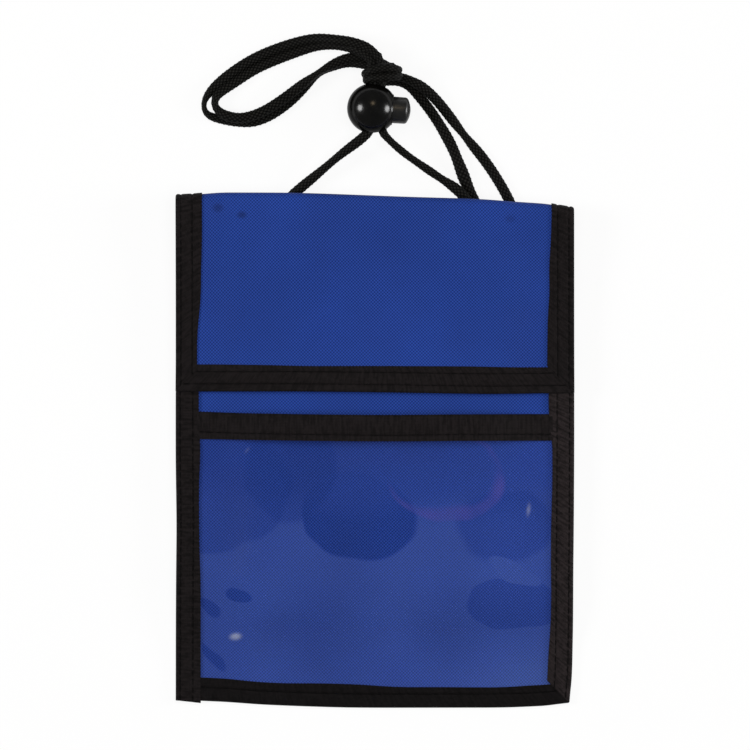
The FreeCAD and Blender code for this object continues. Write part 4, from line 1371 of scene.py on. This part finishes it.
# %% Shape of the flap
FOLD_Y = 87.0
FOLD_Z = 8.3
FOLD_RADIUS = 2.25
FLAP_TIP = 20.5
FLAP_FLAT = FOLD_Y - FLAP_TIP
FLAP_TURN = FOLD_RADIUS * math.pi
FLAP_LAP = 6.5
FLAP_LENGTH = FLAP_FLAT + FLAP_TURN + FLAP_LAP
FLAP_FALL = 41.5
FLAP_TOP_Z = 10.3
FLAP_SIDE_Z = 7.15
FLAP_MIDDLE_Z = 8.8
FLAP_CURL = 1.3
FLAP_RIPPLE = 0.07
FLAP_EDGE_WANDER = [
    (-70, 0.3), (-28, 0.35), (0, 0.05), (28, -0.4), (42, -0.6), (56, -0.35), (70, -0.25),
]
EDGE_FADE = 45.0
LAP_DROP = 0.75
LAP_RUN = 4.0
DENTS = [(-55.5, 85.0), (-47.0, 82.5), (47.7, 82.5)]
DENT_DEPTH = 0.35
DENT_REACH = 2.2


def flap_height(x, y):
    """Middle of the flap's cloth over its flat part."""
    down = np.clip((FOLD_Y - y) / FLAP_FALL, 0.0, 1.0)
    side = FLAP_TOP_Z + (FLAP_SIDE_Z - FLAP_TOP_Z) * np.sin(down * math.pi / 2) ** FLAP_CURL
    middle = FLAP_TOP_Z + (FLAP_MIDDLE_Z - FLAP_TOP_Z) * down * down * (3 - 2 * down)
    fade = s_curve((FOLD_Y - y) / RIPPLE_FADE)
    height = side + (middle - side) * swell(x) + CLOTH / 2 + ripple(x, y, FLAP_RIPPLE) * fade
    for dent_x, dent_y in DENTS:
        apart = (x - dent_x) ** 2 + (y - dent_y) ** 2
        height = height - DENT_DEPTH * np.exp(-apart / DENT_REACH ** 2)
    return height


def flap_place(x, along, height):
    """A point of the flap: X, length along the cloth, and height over its middle."""
    flat = np.clip(along, None, FLAP_FLAT)
    turn = np.clip((along - FLAP_FLAT) / FOLD_RADIUS, 0.0, math.pi)
    lap = np.clip(along - FLAP_FLAT - FLAP_TURN, 0.0, None)
    edge = wander(FLAP_EDGE_WANDER, x) * np.clip(1 - along / EDGE_FADE, 0.0, 1.0)
    y = FLAP_TIP + flat + edge + (FOLD_RADIUS + height) * np.sin(turn) - lap
    rolled = FOLD_Z + (FOLD_RADIUS + height) * np.cos(turn) - LAP_DROP * s_curve(lap / LAP_RUN)
    z = np.where(along <= FLAP_FLAT, flap_height(x, FLAP_TIP + flat) + height, rolled)
    return np.stack([x, y, z], axis=-1)


print("flap cloth length", round(FLAP_LENGTH, 1), "mm")

# %% Flap sheet
FLAT_ROWS = 68
TURN_ROWS = 61
LAP_ROWS = 6
flap_runs = np.concatenate([
    np.linspace(0.0, FLAP_FLAT, FLAT_ROWS)[:-1],
    FLAP_FLAT + np.linspace(0.0, FLAP_TURN, TURN_ROWS)[:-1],
    FLAP_FLAT + FLAP_TURN + np.linspace(0.0, FLAP_LAP, LAP_ROWS),
])
x, along = np.meshgrid(wide_xs, flap_runs)
flap_grid = flap_place(x, along, np.zeros_like(x))
flap_cloth = sheet("flap_cloth", settle(flap_grid), CLOTH, blue_cloth)
print("flap cloth", len(flap_cloth.data.vertices), "points")

# %% [markdown]
# One tape goes round three sides of the flap, mitred at the two lower corners, with two rows of
# sewing. It is narrower towards the bottom on the left and wider on the right. It could be one
# long strip, but three pieces meet more cleanly at the mitres.

# %% Places of the flap's tapes
LEFT_WIDTHS = [
    (0, 7.3), (14, 7.25), (22, 8.0), (28, 8.65), (36, 8.65), (45, 8.85), (50, 9.05), (90, 9.05),
]
RIGHT_WIDTHS = [
    (0, 9.3), (14, 9.15), (22, 9.05), (28, 8.6), (36, 8.35), (43, 8.75), (50, 8.2), (64, 7.7),
    (90, 7.7),
]
TIP_WIDTHS = [(-62, 9.4), (-42, 9.15), (-28, 8.8), (0, 9.05), (42, 9.35), (62, 8.9)]
TAPE_SHORT = 3.0


def flap_side_place(sign):
    """Where the tape lies along one side of the flap."""
    def place(inward, share, height):
        low = inward - TAPE / 2
        along = low + share * (FLAP_LENGTH - TAPE_SHORT - low)
        return flap_place(sign * (OUTER - inward), along, height)
    return place


def tip_place(inward, share, height):
    """Where the tape lies along the flap's lower edge, between the mitres."""
    left = np.minimum(inward, LEFT_WIDTHS[0][1]) - OUTER
    right = OUTER - np.minimum(inward, RIGHT_WIDTHS[0][1])
    return flap_place(left + share * (right - left), inward - TAPE / 2, height)


def flap_side_width(table):
    """Width of a side tape of the flap for a share of its length."""
    return lambda share: wander(table, share * FLAP_LENGTH)


def tip_width(share):
    """Width of the tape along the flap's lower edge."""
    return wander(TIP_WIDTHS, (share - 0.5) * 2 * HALF_WIDTH)


print("flap tape is", TIP_WIDTHS[0][1], "mm wide at the lower left corner")

# %% Tapes of the flap
FLAP_HALF = CLOTH / 2 + TAPE / 2
FLAP_SEAMS = (1.6, 5.6)
TIP_SEAMS = (2.5, 6.8)
ROLL_FROM = 0.85
ROLL_TO = 0.965
FLAT_TAPE_ROWS = 90
ROLL_TAPE_ROWS = 80
END_TAPE_ROWS = 6
TIP_ROWS = 120
SIDE_RUN = 78.0
TIP_RUN = 133.0
side_rows = np.concatenate([
    np.linspace(0.0, ROLL_FROM, FLAT_TAPE_ROWS)[:-1],
    np.linspace(ROLL_FROM, ROLL_TO, ROLL_TAPE_ROWS)[:-1],
    np.linspace(ROLL_TO, 1.0, END_TAPE_ROWS),
])
flap_tapes = []
threads = seam_rows(tip_place, TIP_RUN, TIP_SEAMS, FLAP_HALF)
for name, sign, table in [("flap_left_tape", -1, LEFT_WIDTHS), ("flap_right_tape", 1, RIGHT_WIDTHS)]:
    side_place = flap_side_place(sign)
    width = flap_side_width(table)
    flap_tapes.append(folded_tape(name, side_place, side_rows, width, FLAP_HALF, FLAP_SEAMS))
    threads += seam_rows(side_place, SIDE_RUN, FLAP_SEAMS, FLAP_HALF)
flap_tapes.append(folded_tape("flap_tip_tape", tip_place, TIP_ROWS, tip_width, FLAP_HALF, TIP_SEAMS))
flap_stitches = stitches("flap_stitches", threads)
print("flap tapes", len(flap_tapes), "and stitches", len(threads))

# %% [markdown]
# ## Stopper knots
# Each end of the cord is tied in an overhand knot above its eyelet, so that it can't pull out.
# It could be laid by hand. A trefoil is the line of a closed overhand knot, so
# a formula is enough, and the same braided tube is swept along it.

# %% Stopper knots
KNOT_SPREAD = 0.82
KNOT_RISE = 0.45
KNOT_Z = 6.95
KNOT_POINTS = 160
KNOT_STEP = 0.3
KNOT_WIDE = 2.1
KNOT_TALL = 2.0


def knot(name, place):
    """A trefoil of braided cord."""
    turn = np.linspace(0.0, 2 * math.pi, KNOT_POINTS)
    line = np.stack([
        KNOT_SPREAD * (np.sin(turn) + 2 * np.sin(2 * turn)),
        KNOT_SPREAD * (np.cos(turn) - 2 * np.cos(2 * turn)),
        -KNOT_RISE * np.sin(3 * turn),
    ], axis=1) + np.array(place)
    line, at = evenly(line, KNOT_STEP)
    return braid_tube(name, line, at, KNOT_WIDE, KNOT_TALL, cord_braid)


knots = {}
for side, place in zip(("left", "right"), EYELETS):
    knots[side] = knot(side + "_knot", (place[0], place[1], KNOT_Z))
print("stopper knots", len(knots))

# %% [markdown]
# ## The ball lock
# The ball and its button are turned shapes, so each is a profile spun about the button's axis:
# a ball with a deep bore, spread a little in plan, and a slightly tapered plunger with a domed
# end. A slot for the two strands is then cut through both, wider in the plunger, so that it can
# be pressed. A sphere with a cylinder stuck in it would look alike, but couldn't move.

# %% Lock helpers
BALL_CENTRE = np.array([-1.0, 120.4, 8.3])
ACROSS = np.array([0.997547, -0.070003, 0.0])
ALONG = np.array([0.070003, 0.997547, 0.0])
LOCK_SHARP = 35.0
SLOT_UP = 1.8
SLOT_SIDES = 48
SLOT_SQUARE = 0.6
# Each ring of the slot: its place along the cord and its flare.
SLOT_RINGS = [(-9.5, 1.5), (-7.6, 1.12), (-6.2, 1.0), (6.2, 1.0), (7.6, 1.12), (9.5, 1.5)]


def lock_point(across, along, up):
    """A point of the lock: along the button's axis, along the cord, and up."""
    return BALL_CENTRE + ACROSS * across + ALONG * along + np.array([0.0, 0.0, up])


def spun(name, profile, steps, finish, spread=1.0):
    """A closed shape spun about the button's axis and spread a little in plan.

    The profile starts and ends on the axis.
    """
    points = [lock_point(profile[0][0] * spread, 0.0, 0.0)]
    for across, radius in profile[1:-1]:
        for step in range(steps):
            angle = 2 * math.pi * step / steps
            along = radius * spread * math.cos(angle)
            points.append(lock_point(across * spread, along, radius * math.sin(angle)))
    points.append(lock_point(profile[-1][0] * spread, 0.0, 0.0))
    faces = []
    rings = len(profile) - 2
    for step in range(steps):
        after = (step + 1) % steps
        faces.append((0, 1 + step, 1 + after))
        for ring in range(rings - 1):
            a = 1 + ring * steps
            faces.append((a + step, a + steps + step, a + steps + after, a + after))
        last = 1 + (rings - 1) * steps
        faces.append((len(points) - 1, last + after, last + step))
    return object_from(name, points, faces, finish, LOCK_SHARP)


def cut_slot(made, middle, half_across):
    """Cut a rounded slot along the cord, flared at both mouths."""
    points = []
    for along, flare in SLOT_RINGS:
        for step in range(SLOT_SIDES):
            angle = 2 * math.pi * step / SLOT_SIDES
            wide = abs(math.cos(angle)) ** SLOT_SQUARE * math.copysign(half_across, math.cos(angle))
            high = abs(math.sin(angle)) ** SLOT_SQUARE * math.copysign(SLOT_UP, math.sin(angle))
            points.append(lock_point(middle + wide * flare, along, high * flare))
    faces = tube_faces(len(SLOT_RINGS), SLOT_SIDES)
    cut_away(made, object_from("slot_cutter", points, faces, lock_plastic))
    made.data.set_sharp_from_angle(angle=math.radians(LOCK_SHARP))


print("lock's middle at", BALL_CENTRE)

# %% Ball and button
BALL_RADIUS = 8.3
BALL_SPREAD = 1.07
BALL_MOUTH = 38.6
BALL_ROWS = 72
BALL_STEPS = 96
BUTTON_STEPS = 72
skin = np.radians(np.linspace(180.0, BALL_MOUTH, BALL_ROWS))
ball_profile = [(BALL_RADIUS * math.cos(angle), BALL_RADIUS * math.sin(angle)) for angle in skin]
ball_profile[0] = (-BALL_RADIUS, 0.0)
ball_profile += [
    (6.68, 5.1), (6.82, 5.02), (6.88, 4.93), (6.84, 4.85), (6.74, 4.82),
    (-5.5, 4.82), (-5.6, 2.5), (-7.3, 2.5), (-7.3, 0.0),
]
lock_ball = spun("lock_ball", ball_profile, BALL_STEPS, lock_plastic, BALL_SPREAD)
cut_slot(lock_ball, middle=1.2, half_across=3.5)
button_profile = [
    (-3.0, 0.0), (-3.0, 4.4), (-2.7, 4.72), (8.0, 4.72), (11.6, 4.66), (12.1, 4.5), (12.5, 4.1),
    (12.9, 3.3), (13.25, 2.3), (13.5, 1.2), (13.6, 0.0),
]
lock_button = spun("lock_button", button_profile, BUTTON_STEPS, button_plastic)
cut_slot(lock_button, middle=2.45, half_across=4.75)
print("ball and button", len(lock_ball.data.vertices), len(lock_button.data.vertices), "points")

# %% [markdown]
# ## Small hard pieces
# The spring, the eyelets and the two halves of the closure have the right shape in the CAD model
# already. They could be modelled again, but that would add nothing, so they keep it and only get
# their finishes.

# %% Finishes on the small pieces
SMALL_SHARP = 30.0
HARD = {
    "cord_lock_spring": steel, "left_eyelet": enamel, "right_eyelet": enamel,
    "left_eyelet_washer": enamel, "right_eyelet_washer": enamel, "loop_strip": pile, "hook_strip": pile,
}
for name, finish in HARD.items():
    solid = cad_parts[name]
    solid.data.materials.clear()
    solid.data.materials.append(finish)
    solid.data.shade_smooth()
    solid.data.set_sharp_from_angle(angle=math.radians(SMALL_SHARP))
print("small pieces finished", len(HARD))

# %% [markdown]
# ## Riding, and the flap's pieces
# Pieces of the pouch ride on the wallet. The flap's pieces have their places baked into their
# meshes, and the CAD nodes that they stand for are hidden.

# %% Bodies of the pouch and the lock
stands_for = [
    (back_cloth, ["back_panel"], "blue_cloth"), (front_cloth, ["front_panel"], "blue_cloth"),
    (window_film, ["window_sheet"], "clear_vinyl"), (left_tape, ["left_binding"], "black_tape"),
    (right_tape, ["right_binding"], "black_tape"), (foot_tape, ["bottom_binding"], "black_tape"),
    (window_tape, ["window_top_binding"], "black_tape"),
    (knots["left"], ["left_stopper_knot"], "cord"), (knots["right"], ["right_stopper_knot"], "cord"),
    (neck_cord, [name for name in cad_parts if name.startswith("neck_cord")], "cord"),
    (lock_ball, ["cord_lock_ball"], "lock_plastic"),
]
for made, nodes, slot in stands_for:
    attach(made, "wallet")
    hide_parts(*nodes)
POUCH_STITCHES = [left_stitches, right_stitches, bottom_stitches, window_stitches]
for made in POUCH_STITCHES:
    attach(made, "wallet")
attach(lock_button, "button")
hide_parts("cord_lock_button")
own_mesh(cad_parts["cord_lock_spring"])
print("pieces on the wallet", len(stands_for) + len(POUCH_STITCHES))

# %% Flap pieces baked in place
for made in [flap_cloth, flap_stitches] + flap_tapes:
    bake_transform(made)
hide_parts("flap_panel")
for made in flap_tapes:
    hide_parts("flap_binding")
print("pieces that bend with the flap", 2 + len(flap_tapes))

# %% Cord and sheets
[tuple(point) for point in cord_line[::4] * MM]
